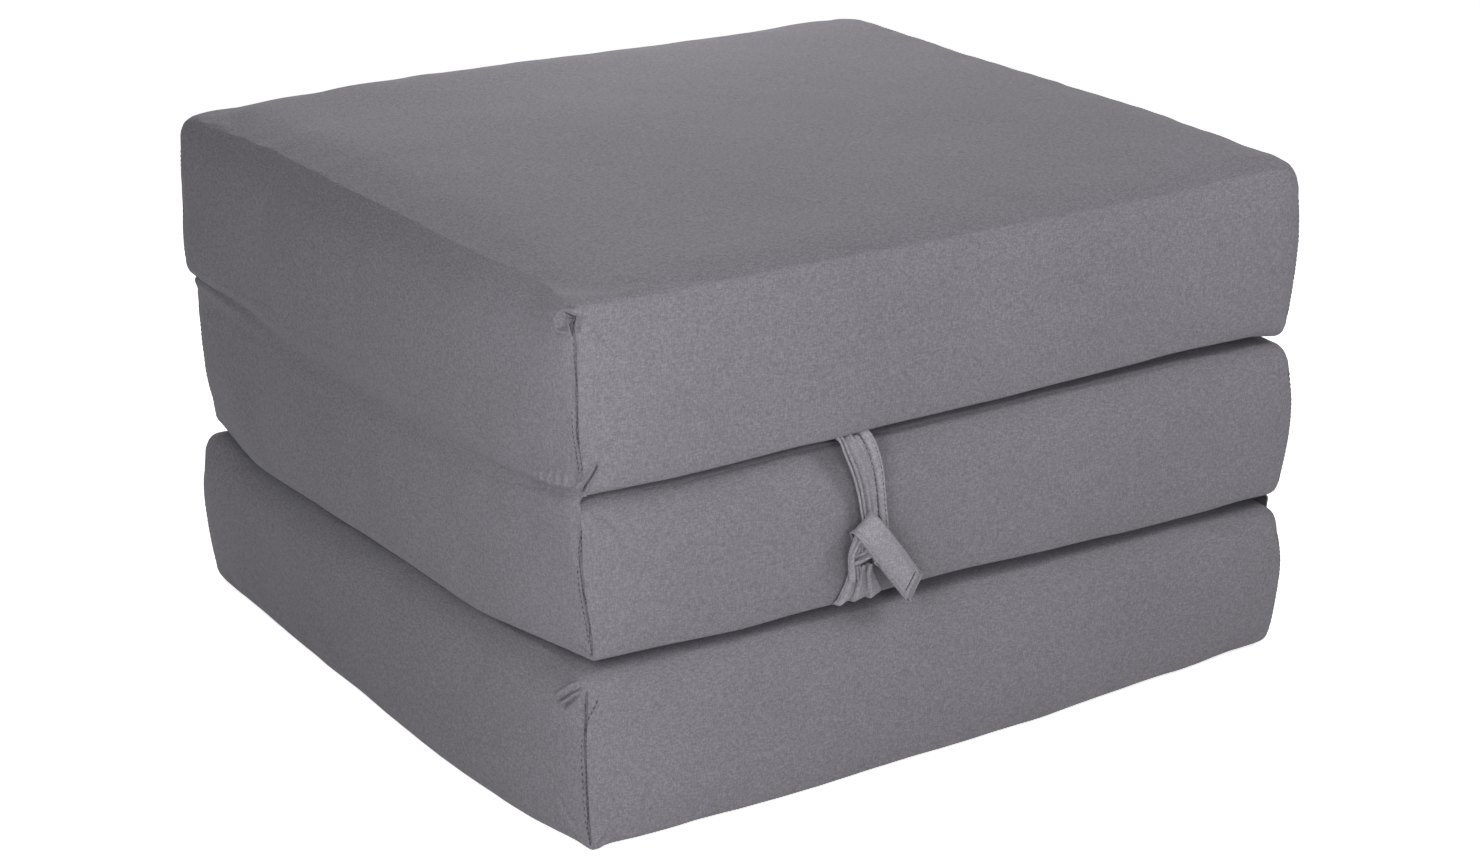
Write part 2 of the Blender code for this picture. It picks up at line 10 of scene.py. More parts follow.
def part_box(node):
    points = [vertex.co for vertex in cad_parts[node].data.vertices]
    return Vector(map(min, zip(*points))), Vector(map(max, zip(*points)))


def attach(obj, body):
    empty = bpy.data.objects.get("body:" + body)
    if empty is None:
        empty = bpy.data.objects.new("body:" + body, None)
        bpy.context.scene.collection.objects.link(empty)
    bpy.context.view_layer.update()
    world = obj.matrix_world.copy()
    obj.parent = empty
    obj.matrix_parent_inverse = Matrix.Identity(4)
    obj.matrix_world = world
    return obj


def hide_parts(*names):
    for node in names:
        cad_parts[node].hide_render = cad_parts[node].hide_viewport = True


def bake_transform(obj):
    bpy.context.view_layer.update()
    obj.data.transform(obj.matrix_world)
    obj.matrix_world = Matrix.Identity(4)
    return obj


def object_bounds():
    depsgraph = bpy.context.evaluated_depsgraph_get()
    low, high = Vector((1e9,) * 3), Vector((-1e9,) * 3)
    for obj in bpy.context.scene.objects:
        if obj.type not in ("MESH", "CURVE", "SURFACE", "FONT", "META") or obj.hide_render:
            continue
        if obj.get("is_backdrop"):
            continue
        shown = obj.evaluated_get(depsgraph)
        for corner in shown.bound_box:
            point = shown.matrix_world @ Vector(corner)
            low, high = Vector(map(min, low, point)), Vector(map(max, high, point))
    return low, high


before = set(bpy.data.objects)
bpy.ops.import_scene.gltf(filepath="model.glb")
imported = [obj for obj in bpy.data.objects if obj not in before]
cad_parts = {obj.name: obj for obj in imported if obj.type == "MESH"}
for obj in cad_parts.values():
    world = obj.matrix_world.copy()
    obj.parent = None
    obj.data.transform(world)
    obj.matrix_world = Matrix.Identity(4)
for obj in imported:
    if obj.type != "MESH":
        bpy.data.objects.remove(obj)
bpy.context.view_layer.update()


# The three covers.
# Each is a sleeve of brushed woven polyester, drawn tight over a foam block. It is one piece of
# cloth round the block, sewn down the four upright corners, and its ends bow out between them.
section_pitch = 0.126
cover_height = 0.1257
cover_back = 0.293
cover_cells = (66, 62, 16)
cover_bunching = (0.85, 0.85, 0.75)  # how much closer together the cells lie towards the edges
on_edge = 0.999  # from here, a point of the cube lies on a face
# Where the corners begin, from the middle, over what length, and how much tighter they are rounded
corner_start, corner_reach = (0.24, 0.225), (0.065, 0.06)
corner_tightening, other_corners_tight = 0.6, 0.85
# The shoulder begins just over the cover's middle, and the tie side is rounder towards its far end
shoulder_start, shoulder_reach = 0.005, 0.040
far_end_start, far_end_reach, far_end_round = 0.20, 0.08, 0.010
broad_at_far_end = 0.4
# How far the walls bow out halfway between the corners, and are drawn in at the hems
end_bulge, tie_side_bulge = 0.011, 0.0052
end_drawn_in, tie_side_drawn_in = 0.003, 0.002
crown, edge_rise = 0.005, 0.011
panel_recess, panel_inset, panel_step = 0.0008, 0.012, 0.004
zip_level, zip_slot_half, zip_half, zip_slot_back = 0.05685, 0.0055, 0.2703, 0.2898
rear_from, slot_edge_near, slot_end_near = 0.289, 0.0016, 0.004
# How far along and up from the zip its wall is kept flat, and over what length that fades
zip_clear_along, zip_clear_up = (0.304, 0.014), (0.030, 0.020)
welt_off, welt_height, welt_width, welt_taper = 0.0085, 0.0009, 0.0022, 0.01
seam_depth, seam_width, seam_taper = 0.0015, 0.0007, 0.04
unevenness = 0.00022
cloth_grey, cloth_light, cloth_dark = "7d7b81", "8a888e", "706e74"


def grid_box(cells):
    """A cube from -1 to 1 whose faces are cut into a grid."""
    shape = bmesh.new()
    bmesh.ops.create_cube(shape, size=2.0)
    for axis, count in enumerate(cells):
        runs = [e for e in shape.edges if abs(e.verts[0].co[axis] - e.verts[1].co[axis]) > 1e-6]
        bmesh.ops.subdivide_edges(shape, edges=runs, cuts=count - 1, use_grid_fill=True)
    return shape


def object_from(shape, name):
    """Links a finished bmesh to the scene as an object that is shaded smooth."""
    mesh = bpy.data.meshes.new(name)
    shape.to_mesh(mesh)
    shape.free()
    mesh.shade_smooth()
    made = bpy.data.objects.new(name, mesh)
    bpy.context.scene.collection.objects.link(made)
    return made


def points_of(mesh):
    flat = np.empty(len(mesh.vertices) * 3, np.float32)
    mesh.vertices.foreach_get("co", flat)
    return flat.reshape(-1, 3).astype(float)


def move_points(mesh, points):
    mesh.vertices.foreach_set("co", points.astype(np.float32).ravel())
    mesh.update()


def soft_step(share):
    share = np.clip(share, 0, 1)
    return share * share * (3 - 2 * share)


def round_form(places, half, rounds):
    """Puts the points of a cube on a box with rounded edges, and gives the shares of its half sizes."""
    side, lower, upper, broad_end, broad_side, tight = rounds
    shares = np.empty_like(places)
    for axis, bunching in enumerate(cover_bunching):
        line = places[:, axis]
        shares[:, axis] = (1 - bunching) * line + bunching * np.sin(line * math.pi / 2)
    box = shares * half
    corner = soft_step((np.abs(box[:, 0]) - corner_start[0]) / corner_reach[0])
    corner *= soft_step((np.abs(box[:, 1]) - corner_start[1]) / corner_reach[1])
    tight = np.where((box[:, 0] < 0) & (box[:, 1] < 0), tight, other_corners_tight)
    high = soft_step((box[:, 2] - shoulder_start) / shoulder_reach) * (1 - tight * corner)
    rounding = np.full_like(box, side)
    far_end = soft_step((box[:, 0] - far_end_start) / far_end_reach) * (box[:, 1] < 0)
    rounding[:, :2] += (far_end_round * far_end)[:, None]
    rounding[:, 0] += broad_end * high * np.where(box[:, 0] < 0, 1.0, broad_at_far_end)
    rounding[:, 1] += broad_side * high
    rounding[:, 2] = np.where(box[:, 2] > 0, upper * (1 - corner_tightening * tight * corner), lower)
    core = np.clip(box, rounding - half, half - rounding)
    out = (box - core) / rounding
    length = np.maximum(np.linalg.norm(out, axis=1, keepdims=True), 1e-9)
    return core + out / length * rounding, shares


def swell(points, shares, half, crowned, flat_side):
    """Bows the walls out between the corners, crowns the face that is slept on, recesses the panel."""
    along, across, up = (points / half).T
    wall_x = np.abs(shares[:, 0]) ** 10
    wall_y = np.abs(shares[:, 1]) ** 10 * (shares[:, 1] < 0)
    low_or_high = np.clip(np.abs(up), 0, 1) ** 2
    ends = end_bulge * (1 - np.abs(across) ** 3.6) - end_drawn_in * low_or_high
    points[:, 0] += np.sign(along) * wall_x * ends
    points[:, 1] -= wall_y * (tie_side_bulge * (1 - np.abs(along) ** 4) - tie_side_drawn_in * low_or_high)
    if crowned:
        top = np.clip(shares[:, 2], 0, 1) ** 4
        points[:, 2] += top * crown * (1 - along**2) * (1 - across**2)
        points[:, 2] += top * edge_rise * (1 - np.abs(along * across) ** 9)
    inside = soft_step((half[0] - panel_inset - np.abs(points[:, 0])) / panel_step)
    inside *= soft_step((half[1] - panel_inset - np.abs(points[:, 1])) / panel_step)
    flat = (shares[:, 2] * flat_side) > on_edge
    points[:, 2] -= flat_side * flat * inside * panel_recess


def pull(points, place, move, reach):
    """Draws the points near a place along with it, less and less towards the reach."""
    away = np.linalg.norm((points - place) / reach, axis=1)
    points += soft_step(1 - away)[:, None] * np.array(move)


def far_from(points, path):
    """How far each point is from a path of straight runs, its share of the way along, and which way from
    the path it lies, as the way across times the way along."""
    path = np.array(path)
    best = np.full(len(points), 9.0)
    share = np.zeros(len(points))
    beside = np.zeros((len(points), 3))
    runs = np.linalg.norm(np.diff(path, axis=0), axis=1)
    ends = np.concatenate([[0], np.cumsum(runs)])
    for start, stop, length, before in zip(path, path[1:], runs, ends):
        way = np.clip((points - start) @ (stop - start) / length**2, 0, 1)
        away = points - (start + way[:, None] * (stop - start))
        gap = np.linalg.norm(away, axis=1)
        closer = gap < best
        best[closer] = gap[closer]
        share[closer] = ((before + way * length) / ends[-1])[closer]
        beside[closer] = np.cross(away, stop - start)[closer]
    return best, share, beside


def fold_in(points, normals, path, depth, width, lip=0.0, taper=0.25):
    """Presses a fold or a seam into the cloth along a path, with a soft ridge on either side. A lip lets
    the cloth on the right of the path stand over the other side, and a negative depth makes a ridge."""
    laid = []
    for spot in np.array(path):
        nearest = np.argmin(np.linalg.norm(points - spot, axis=1))
        laid.append(spot + normals[nearest] * ((points[nearest] - spot) @ normals[nearest]))
    gap, share, beside = far_from(points, laid)
    near = gap < width * 6
    gap, share = gap[near] / width, share[near]
    ends = soft_step(share / taper) * soft_step((1 - share) / taper)
    shape = depth * (np.exp(-(gap**2)) - 0.40 * np.exp(-(((gap - 1.9) / 0.8) ** 2)))
    right = (beside[near] * normals[near]).sum(axis=1) < 0
    shape -= lip * np.where(right, np.exp(-((gap / 3.0) ** 2)), 0)
    points[near] -= normals[near] * (ends * shape)[:, None]


def wave(points, amount):
    """The slight unevenness of cloth over foam, as five crossing waves."""
    total = np.zeros(len(points))
    for turn, (x, y, z, strength) in enumerate((
        (31, 12, 40, 1.0), (-17, 37, 22, 0.9), (52, -29, 66, 0.6), (73, 61, -48, 0.45), (-95, 88, 105, 0.3),
    )):
        total += strength * np.sin(points @ np.array((x, y, z)) + 1.7 * turn)
    return amount * total[:, None]


cover_forms = {
    # name: height of its underside, half length, where its tie side stands, whether it is crowned, which
    # side is flat, and its roundings: upright edge, lower edge, upper edge, how much broader the upper one
    # is at the ends and at the long sides, and how far the near corner is kept from that
    "bottom": (0.0, 0.3095, -0.2920, False, -1, (0.0050, 0.0070, 0.0300, 0.050, 0.034, 0.4)),
    "middle": (section_pitch, 0.3095, -0.2920, False, 1, (0.0045, 0.0060, 0.0300, 0.006, 0.036, 0.3)),
    "top": (2 * section_pitch, 0.3095, -0.2940, True, -1, (0.0050, 0.0075, 0.0220, 0.050, 0.014, 0.95)),
}
# Where the real covers sag, droop or stand proud: place, move and reach, in metres
cover_pulls = {
    "bottom": (
        ((-0.309, -0.292, 0.000), (-0.0035, -0.0125, 0.0000), (0.30, 0.30, 0.10)),
        ((-0.311, -0.303, 0.003), (-0.0020, -0.0040, 0.0000), (0.020, 0.020, 0.012)),
        ((-0.318, -0.130, 0.000), (-0.0090, 0.0000, 0.0000), (0.10, 0.26, 0.10)),
        ((-0.060, -0.298, 0.000), (0.0000, -0.0080, 0.0000), (0.34, 0.10, 0.10)),
        ((-0.309, 0.292, 0.060), (-0.0045, 0.0025, 0.0000), (0.12, 0.12, 0.12)),
        ((0.309, -0.292, 0.000), (0.0036, 0.0077, 0.0020), (0.30, 0.30, 0.10)),
        ((-0.309, 0.292, 0.000), (0.0017, -0.0050, 0.0020), (0.25, 0.25, 0.09)),
        ((0.309, 0.292, 0.000), (0.0000, 0.0000, 0.0040), (0.12, 0.12, 0.05)),
        ((0.309, -0.292, 0.126), (-0.0015, -0.0008, -0.0085), (0.10, 0.10, 0.07)),
        ((0.309, -0.292, 0.060), (0.0060, -0.0010, 0.0000), (0.15, 0.15, 0.14)),
        ((-0.309, 0.292, 0.122), (-0.0028, 0.0009, -0.0010), (0.10, 0.10, 0.06)),
        ((-0.320, 0.030, 0.126), (0.0050, 0.0000, -0.0050), (0.05, 0.32, 0.05)),
        ((-0.309, -0.292, 0.126), (0.0000, 0.0000, -0.0030), (0.05, 0.05, 0.03)),
        ((0.312, -0.292, 0.117), (0.0060, -0.0020, 0.0020), (0.018, 0.018, 0.014)),
    ),
    "middle": (
        ((-0.309, -0.292, 0.128), (0.0064, -0.0007, 0.0055), (0.14, 0.14, 0.08)),
        ((-0.309, -0.292, 0.245), (-0.0030, 0.0000, 0.0000), (0.08, 0.08, 0.06)),
        ((-0.309, 0.292, 0.130), (0.0050, -0.0015, 0.0060), (0.10, 0.12, 0.07)),
        ((0.000, -0.297, 0.126), (0.0000, 0.0000, 0.0055), (0.34, 0.05, 0.04)),
        ((-0.320, 0.000, 0.126), (0.0000, 0.0000, 0.0020), (0.04, 0.25, 0.03)),
        ((-0.319, -0.060, 0.243), (0.0035, 0.0000, 0.0000), (0.05, 0.30, 0.018)),
        ((-0.230, -0.300, 0.252), (0.0000, 0.0020, -0.0035), (0.16, 0.05, 0.035)),
        ((-0.309, 0.292, 0.248), (-0.0040, 0.0015, 0.0040), (0.12, 0.12, 0.06)),
        ((0.200, -0.300, 0.252), (0.0000, 0.0000, 0.0050), (0.20, 0.05, 0.04)),
        ((-0.040, -0.300, 0.252), (0.0000, 0.0000, 0.0020), (0.26, 0.05, 0.04)),
        ((0.309, -0.292, 0.248), (0.0010, 0.0000, -0.0061), (0.07, 0.07, 0.06)),
        ((0.309, -0.292, 0.130), (-0.0018, 0.0000, 0.0010), (0.14, 0.10, 0.06)),
        ((0.309, -0.292, 0.190), (0.0075, -0.0010, 0.0000), (0.15, 0.15, 0.13)),
    ),
    "top": (
        ((-0.309, -0.292, 0.378), (-0.0030, 0.0010, 0.0050), (0.07, 0.07, 0.06)),
        ((-0.309, -0.292, 0.310), (-0.0025, 0.0000, 0.0000), (0.10, 0.10, 0.10)),
        ((-0.290, -0.270, 0.385), (0.0000, 0.0000, -0.0035), (0.05, 0.05, 0.04)),
        ((0.309, 0.292, 0.378), (0.0060, -0.0045, 0.0000), (0.25, 0.25, 0.20)),
        ((-0.309, 0.292, 0.378), (-0.0105, 0.0060, 0.0000), (0.16, 0.16, 0.20)),
        ((0.310, -0.140, 0.385), (0.0000, 0.0000, 0.0065), (0.20, 0.30, 0.08)),
        ((-0.120, 0.293, 0.385), (0.0000, 0.0000, 0.0045), (0.24, 0.12, 0.08)),
        ((0.309, -0.292, 0.360), (0.0060, -0.0010, 0.0000), (0.15, 0.15, 0.12)),
        ((-0.220, -0.297, 0.257), (0.0000, -0.0040, 0.0000), (0.24, 0.05, 0.03)),
        ((-0.309, 0.292, 0.252), (-0.0060, 0.0035, 0.0040), (0.12, 0.12, 0.08)),
        ((0.200, -0.300, 0.252), (0.0000, 0.0010, 0.0080), (0.20, 0.05, 0.05)),
        ((-0.040, -0.300, 0.252), (0.0000, 0.0000, 0.0035), (0.26, 0.05, 0.04)),
        ((0.309, -0.292, 0.252), (0.0000, 0.0000, -0.0035), (0.04, 0.04, 0.04)),
    ),
}
# The slit in the gathered corner of the top cover
gather_slit = (
    (-0.313, -0.2830, 0.3775), (-0.312, -0.2905, 0.3765), (-0.312, -0.2890, 0.3715), (-0.312, -0.2915, 0.3640),
)
# Folds that the cloth has: the path, the depth, the width and how far its right side stands over the left
cover_folds = {
    "bottom": (
        (((-0.317, -0.263, 0.095), (-0.316, -0.278, 0.109), (-0.3125, -0.290, 0.1205)), 0.0034, 0.0020, 0.0030),
        (((-0.317, -0.270, 0.093), (-0.316, -0.280, 0.102), (-0.3135, -0.288, 0.1115)), 0.0030, 0.0016, 0.0020),
        (((-0.300, -0.297, 0.118), (-0.285, -0.299, 0.108), (-0.272, -0.299, 0.090)), 0.0012, 0.0030, 0.0),
        (((-0.309, -0.292, 0.010), (-0.314, -0.282, 0.020), (-0.317, -0.270, 0.034)), 0.0018, 0.0020, 0.0),
        (((-0.311, -0.300, 0.003), (-0.305, -0.303, 0.006), (-0.298, -0.303, 0.010)), 0.0016, 0.0016, 0.0),
    ),
    "middle": (
        (((-0.205, -0.299, 0.236), (-0.190, -0.300, 0.218), (-0.178, -0.300, 0.205)), 0.0010, 0.0034, 0.0),
        (((-0.185, -0.299, 0.238), (-0.170, -0.300, 0.220), (-0.160, -0.300, 0.206)), 0.0012, 0.0034, 0.0),
        (((-0.165, -0.299, 0.239), (-0.150, -0.300, 0.222), (-0.141, -0.300, 0.209)), 0.0010, 0.0034, 0.0),
        (((-0.292, -0.297, 0.243), (-0.280, -0.298, 0.228), (-0.274, -0.298, 0.206)), 0.0010, 0.0034, 0.0),
        (((-0.316, -0.279, 0.141), (-0.313, -0.286, 0.139), (-0.306, -0.295, 0.138)), 0.0022, 0.0013, 0.0016),
        (((-0.309, -0.295, 0.246), (-0.303, -0.297, 0.240), (-0.300, -0.297, 0.228)), 0.0012, 0.0020, 0.0),
    ),
    "top": (
        (((-0.3150, -0.2900, 0.2490), (-0.3115, -0.2950, 0.2570), (-0.3080, -0.2965, 0.2618),
          (-0.3020, -0.2970, 0.2690), (-0.2965, -0.2970, 0.2760)), 0.0036, 0.0014, 0.0056),
        (((-0.3085, -0.293, 0.2545), (-0.3060, -0.295, 0.2540)), 0.0030, 0.0018, 0.0),
        (((-0.297, -0.296, 0.372), (-0.282, -0.298, 0.366), (-0.262, -0.299, 0.355)), 0.0010, 0.0030, 0.0),
        # the gathered corner: a loop of cloth, the slit in it, and the ridge beside it
        (((-0.312, -0.2905, 0.3645), (-0.314, -0.2780, 0.3660), (-0.314, -0.2745, 0.3725),
          (-0.313, -0.2795, 0.3795), (-0.312, -0.2880, 0.3815), (-0.311, -0.2915, 0.3795)), -0.0044, 0.0017, 0.0),
        (gather_slit, 0.0056, 0.0011, 0.0),
        (((-0.3110, -0.2945, 0.3660), (-0.3100, -0.2950, 0.3740), (-0.3085, -0.2945, 0.3810)),
         -0.0040, 0.0018, 0.0),
        (((-0.305, -0.2955, 0.3770), (-0.296, -0.2970, 0.3700), (-0.288, -0.2980, 0.3560)),
         0.0012, 0.0024, 0.0),
        (((-0.315, -0.2720, 0.3740), (-0.317, -0.2600, 0.3690)), 0.0010, 0.0022, 0.0),
    ),
}
# Past these, towards the near corner, the mesh is cut finer
fine_corner = (-0.268, -0.250)
# Round these places it is cut finer still: the place and the reach
finest_places = (
    ((-0.311, -0.288, 0.373), 0.019), ((-0.306, -0.296, 0.263), 0.016), ((-0.311, -0.288, 0.138), 0.013),
    ((-0.313, -0.281, 0.111), 0.020), ((-0.311, -0.300, 0.006), 0.010),
)


def box_of(name):
    """The middle and the half sizes of a cover's plain box."""
    base, half_length, tie_side = cover_forms[name][:3]
    middle = np.array((0, (cover_back + tie_side) / 2, base + cover_height / 2))
    return middle, np.array((half_length, (cover_back - tie_side) / 2, cover_height / 2))


def cover_shell(name):
    """The cover before its cloth is settled, on a coarse grid, each point's place in the cube, and where
    it is."""
    crowned, flat_side, rounds = cover_forms[name][3:]
    middle, half = box_of(name)
    cover = object_from(grid_box(cover_cells), name + "_sleeve")
    places = points_of(cover.data)
    points, shares = round_form(places, half, rounds)
    swell(points, shares, half, crowned, flat_side)
    points += middle
    for place, move, reach in cover_pulls[name]:
        pull(points, place, move, np.array(reach))
    # The back wall stays flat along the zip, where the slider and its pull run
    level = cover_forms[name][0] + zip_level
    kept = soft_step((zip_clear_along[0] - np.abs(points[:, 0])) / zip_clear_along[1])
    kept *= soft_step((zip_clear_up[0] - np.abs(points[:, 2] - level)) / zip_clear_up[1])
    kept *= places[:, 1] > on_edge
    points[:, 1] += kept * (cover_back - points[:, 1])
    move_points(cover.data, points)
    return cover, places, points


settle_steps, settle_pressure = 20, 1.5
# How far the foam lets the cloth settle: the walls, the ends, the upper and lower faces, the top, the back
wall_give, end_give, face_give, top_give, back_give = 0.0035, 0.0040, 0.0004, 0.0030, 0.0003


def settle_cloth(shells):
    """Blows each cover up a little as cloth held at its seams, and keeps what the foam under it allows."""
    scene = bpy.context.scene
    for cover, places, _ in shells:
        seams = cover.vertex_groups.new(name="seams")
        faces_met = (np.abs(places) > on_edge).sum(axis=1)
        for index in np.nonzero(faces_met > 1)[0]:
            seams.add([int(index)], 1.0, "REPLACE")
        cloth = cover.modifiers.new("Settle", "CLOTH")
        cloth.settings.quality = 6
        cloth.settings.vertex_group_mass = "seams"
        cloth.settings.tension_stiffness = 25
        cloth.settings.compression_stiffness = 25
        cloth.settings.bending_stiffness = 0.6
        cloth.settings.shrink_min = -0.006
        cloth.settings.use_pressure = True
        cloth.settings.uniform_pressure_force = settle_pressure
        cloth.settings.effector_weights.gravity = 0
        cloth.collision_settings.use_collision = False
    for step in range(1, settle_steps + 1):
        scene.frame_set(step)
    graph = bpy.context.evaluated_depsgraph_get()
    for cover, places, points in shells:
        blown = points_of(cover.evaluated_get(graph).data)
        outwards = blown - points
        limit = np.full(len(points), wall_give)
        limit[np.abs(places[:, 0]) > on_edge] = end_give
        limit[np.abs(places[:, 2]) > on_edge] = face_give
        if cover.name.startswith("top"):
            limit[places[:, 2] > on_edge] = top_give
        limit[places[:, 1] > on_edge] = back_give
        length = np.maximum(np.linalg.norm(outwards, axis=1), 1e-9)
        points += outwards * (limit / (limit + length))[:, None]
        cover.modifiers.clear()
        cover.vertex_groups.clear()
        move_points(cover.data, points)
    scene.frame_set(1)


def finer(cover):
    """Applies one step of subdivision."""
    smooth = cover.modifiers.new("Finer", "SUBSURF")
    smooth.levels = smooth.render_levels = 1
    graph = bpy.context.evaluated_depsgraph_get()
    mesh = bpy.data.meshes.new_from_object(cover.evaluated_get(graph))
    cover.modifiers.clear()
    cover.data = mesh


def corner_seams(name):
    """The upright seams of one cover: their paths from the hem to the shoulder."""
    side, lower, upper = cover_forms[name][5][:3]
    middle, half = box_of(name)
    inset = side * (1 - math.sqrt(0.5))
    low, high = middle[2] - half[2] + lower * 0.6, middle[2] + half[2] - upper * 0.3
    seams = []
    for x in (-1, 1):
        for y in (-1, 1):
            px, py = middle[0] + x * (half[0] - inset), middle[1] + y * (half[1] - inset)
            seam = np.array([(px, py, low + (high - low) * share) for share in np.linspace(0, 1, 9)])
            for place, move, reach in cover_pulls[name]:
                pull(seam, place, move, np.array(reach))
            seams.append((x, y, seam))
    return seams


def finer_corner(cover):
    """Cuts the faces round the upright corner with the gathers finer, and round the gathers finer still."""
    shape = bmesh.new()
    shape.from_mesh(cover.data)
    edges = set()
    for face in shape.faces:
        middle = face.calc_center_median()
        if middle.x < fine_corner[0] and middle.y < fine_corner[1]:
            edges.update(face.edges)
    bmesh.ops.subdivide_edges(shape, edges=list(edges), cuts=2, use_grid_fill=True)
    edges = set()
    for face in shape.faces:
        middle = face.calc_center_median()
        if any((middle - Vector(place)).length < reach for place, reach in finest_places):
            edges.update(face.edges)
    bmesh.ops.subdivide_edges(shape, edges=list(edges), cuts=2, use_grid_fill=True)
    shape.to_mesh(cover.data)
    shape.free()


def work_cover(name, cover):
    """Sews the cover: its upright seams, its folds, the pocket of the zip and the welt round it."""
    finer_corner(cover)
    points = points_of(cover.data)
    points += wave(points, unevenness)
    move_points(cover.data, points)
    normals = np.empty(len(points) * 3, np.float32)
    cover.data.vertex_normals.foreach_get("vector", normals)
    normals = normals.reshape(-1, 3).astype(float)
    for x, y, path in corner_seams(name):
        fold_in(points, normals, path, seam_depth, seam_width, taper=seam_taper)
    for path, depth, width, lip in cover_folds[name]:
        fold_in(points, normals, path, depth, width, lip)
    level = cover_forms[name][0] + zip_level
    rear = points[:, 1] > rear_from
    for side in (-1, 1):
        height = level + side * welt_off
        welt = ((-zip_half, cover_back, height), (zip_half, cover_back, height))
        fold_in(points, normals, welt, -welt_height, welt_width, taper=welt_taper)
        edge = rear & (np.abs(points[:, 2] - level - side * zip_slot_half) < slot_edge_near)
        edge &= np.abs(points[:, 0]) < zip_half + slot_end_near
        points[edge, 2] = level + side * zip_slot_half
    move_points(cover.data, points)
    shape = bmesh.new()
    shape.from_mesh(cover.data)
    slot = []
    for face in shape.faces:
        middle = face.calc_center_median()
        if middle.y > rear_from and abs(middle.z - level) < zip_slot_half and abs(middle.x) < zip_half:
            slot.append(face)
    inner = bmesh.ops.extrude_face_region(shape, geom=slot)
    pushed = [item for item in inner["geom"] if isinstance(item, bmesh.types.BMVert)]
    for vert in pushed:
        vert.co.y = zip_slot_back
    bmesh.ops.delete(shape, geom=slot, context="FACES")
    bmesh.ops.recalc_face_normals(shape, faces=shape.faces)
    shape.to_mesh(cover.data)
    shape.free()
    cover.data.shade_smooth()


def linear(code):
    """An sRGB hex colour as the linear colour that a shader takes."""
    parts = [int(code[place:place + 2], 16) / 255 for place in (0, 2, 4)]
    return tuple(p / 12.92 if p <= 0.04045 else ((p + 0.055) / 1.055) ** 2.4 for p in parts) + (1.0,)


def add(tree, kind, links=(), **settings):
    """Adds a shader node, sets its properties and sockets, and links sockets to others' outputs."""
    made = tree.nodes.new("ShaderNode" + kind)
    for name, value in settings.items():
        if hasattr(made, name):
            setattr(made, name, value)
        else:
            made.inputs[name.replace("_", " ")].default_value = value
    for socket, source in dict(links).items():
        tree.links.new(source, made.inputs[socket])
    return made


def new_material(name):
    made = bpy.data.materials.new(name)
    made.use_nodes = True
    return made, made.node_tree, made.node_tree.nodes["Principled BSDF"]


def woven_polyester(name, dark, body, light, thread=0.0009, bump=0.22):
    """Brushed woven polyester: matt, with a faint cross of threads, a fine mottle and a little fuzz that
    catches light at grazing angles. The real threads are 0.3 mm apart and are drawn about 1 mm apart,
    the finest that shows here."""
    made, tree, shader = new_material(name)
    place = add(tree, "TexCoord").outputs["Object"]
    threads = []
    for axis in range(3):
        fine = [1 / thread] * 3
        fine[axis] = 1 / (thread * 4)
        turned = add(tree, "Mapping", {0: place}, Scale=fine)
        threads.append(add(tree, "TexNoise", {0: turned.outputs[0]}, Scale=1.0, Detail=1.0, Roughness=0.6))
    pair = add(tree, "Math", {0: threads[0].outputs["Fac"], 1: threads[1].outputs["Fac"]}, operation="ADD")
    cross = add(tree, "Math", {0: pair.outputs[0], 1: threads[2].outputs["Fac"]}, operation="ADD")
    weave = add(tree, "MapRange", {0: cross.outputs[0]}, From_Min=1.05, From_Max=1.95)
    mottle = add(tree, "TexNoise", {0: place}, Scale=700.0, Detail=3.0, Roughness=0.7)
    cloud = add(tree, "TexNoise", {0: place}, Scale=9.0, Detail=2.0, Roughness=0.5)
    tones = add(tree, "ValToRGB", {0: weave.outputs[0]})
    tones.color_ramp.elements[0].position, tones.color_ramp.elements[1].position = 0.15, 0.85
    tones.color_ramp.elements[0].color = linear(dark)
    tones.color_ramp.elements[1].color = linear(light)
    middle = tones.color_ramp.elements.new(0.5)
    middle.color = linear(body)
    speck = add(tree, "MapRange", {0: mottle.outputs["Fac"]},
                From_Min=0.3, From_Max=0.7, To_Min=0.955, To_Max=1.045)
    drift = add(tree, "MapRange", {0: cloud.outputs["Fac"]},
                From_Min=0.3, From_Max=0.7, To_Min=0.97, To_Max=1.03)
    level = add(tree, "Math", {0: speck.outputs[0], 1: drift.outputs[0]}, operation="MULTIPLY")
    colour = add(tree, "VectorMath", {0: tones.outputs[0], 1: level.outputs[0]}, operation="MULTIPLY")
    tree.links.new(colour.outputs[0], shader.inputs["Base Color"])
    rough = add(tree, "MapRange", {0: weave.outputs[0]}, To_Min=0.92, To_Max=0.80)
    tree.links.new(rough.outputs[0], shader.inputs["Roughness"])
    height = add(tree, "Math", {0: weave.outputs[0], 1: mottle.outputs["Fac"]}, operation="ADD")
    raised = add(tree, "Bump", {"Height": height.outputs[0]}, Strength=bump, Distance=0.0004)
    tree.links.new(raised.outputs[0], shader.inputs["Normal"])
    shader.inputs["Specular IOR Level"].default_value = 0.25
    shader.inputs["Sheen Weight"].default_value = 0.22
    shader.inputs["Sheen Roughness"].default_value = 0.45
    shader.inputs["Sheen Tint"].default_value = linear(light)
    return made


cover_cloth = woven_polyester("brushed_woven_polyester", cloth_dark, cloth_grey, cloth_light)

covers = {}
shells = [cover_shell(name) for name in cover_forms]
settle_cloth(shells)
for (cover, _, _), name in zip(shells, cover_forms):
    finer(cover)
    work_cover(name, cover)
    cover.data.materials.clear()
    cover.data.materials.append(cover_cloth)
    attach(cover, name + "_section")
    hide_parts(name + "_cover")
    covers[name] = cover


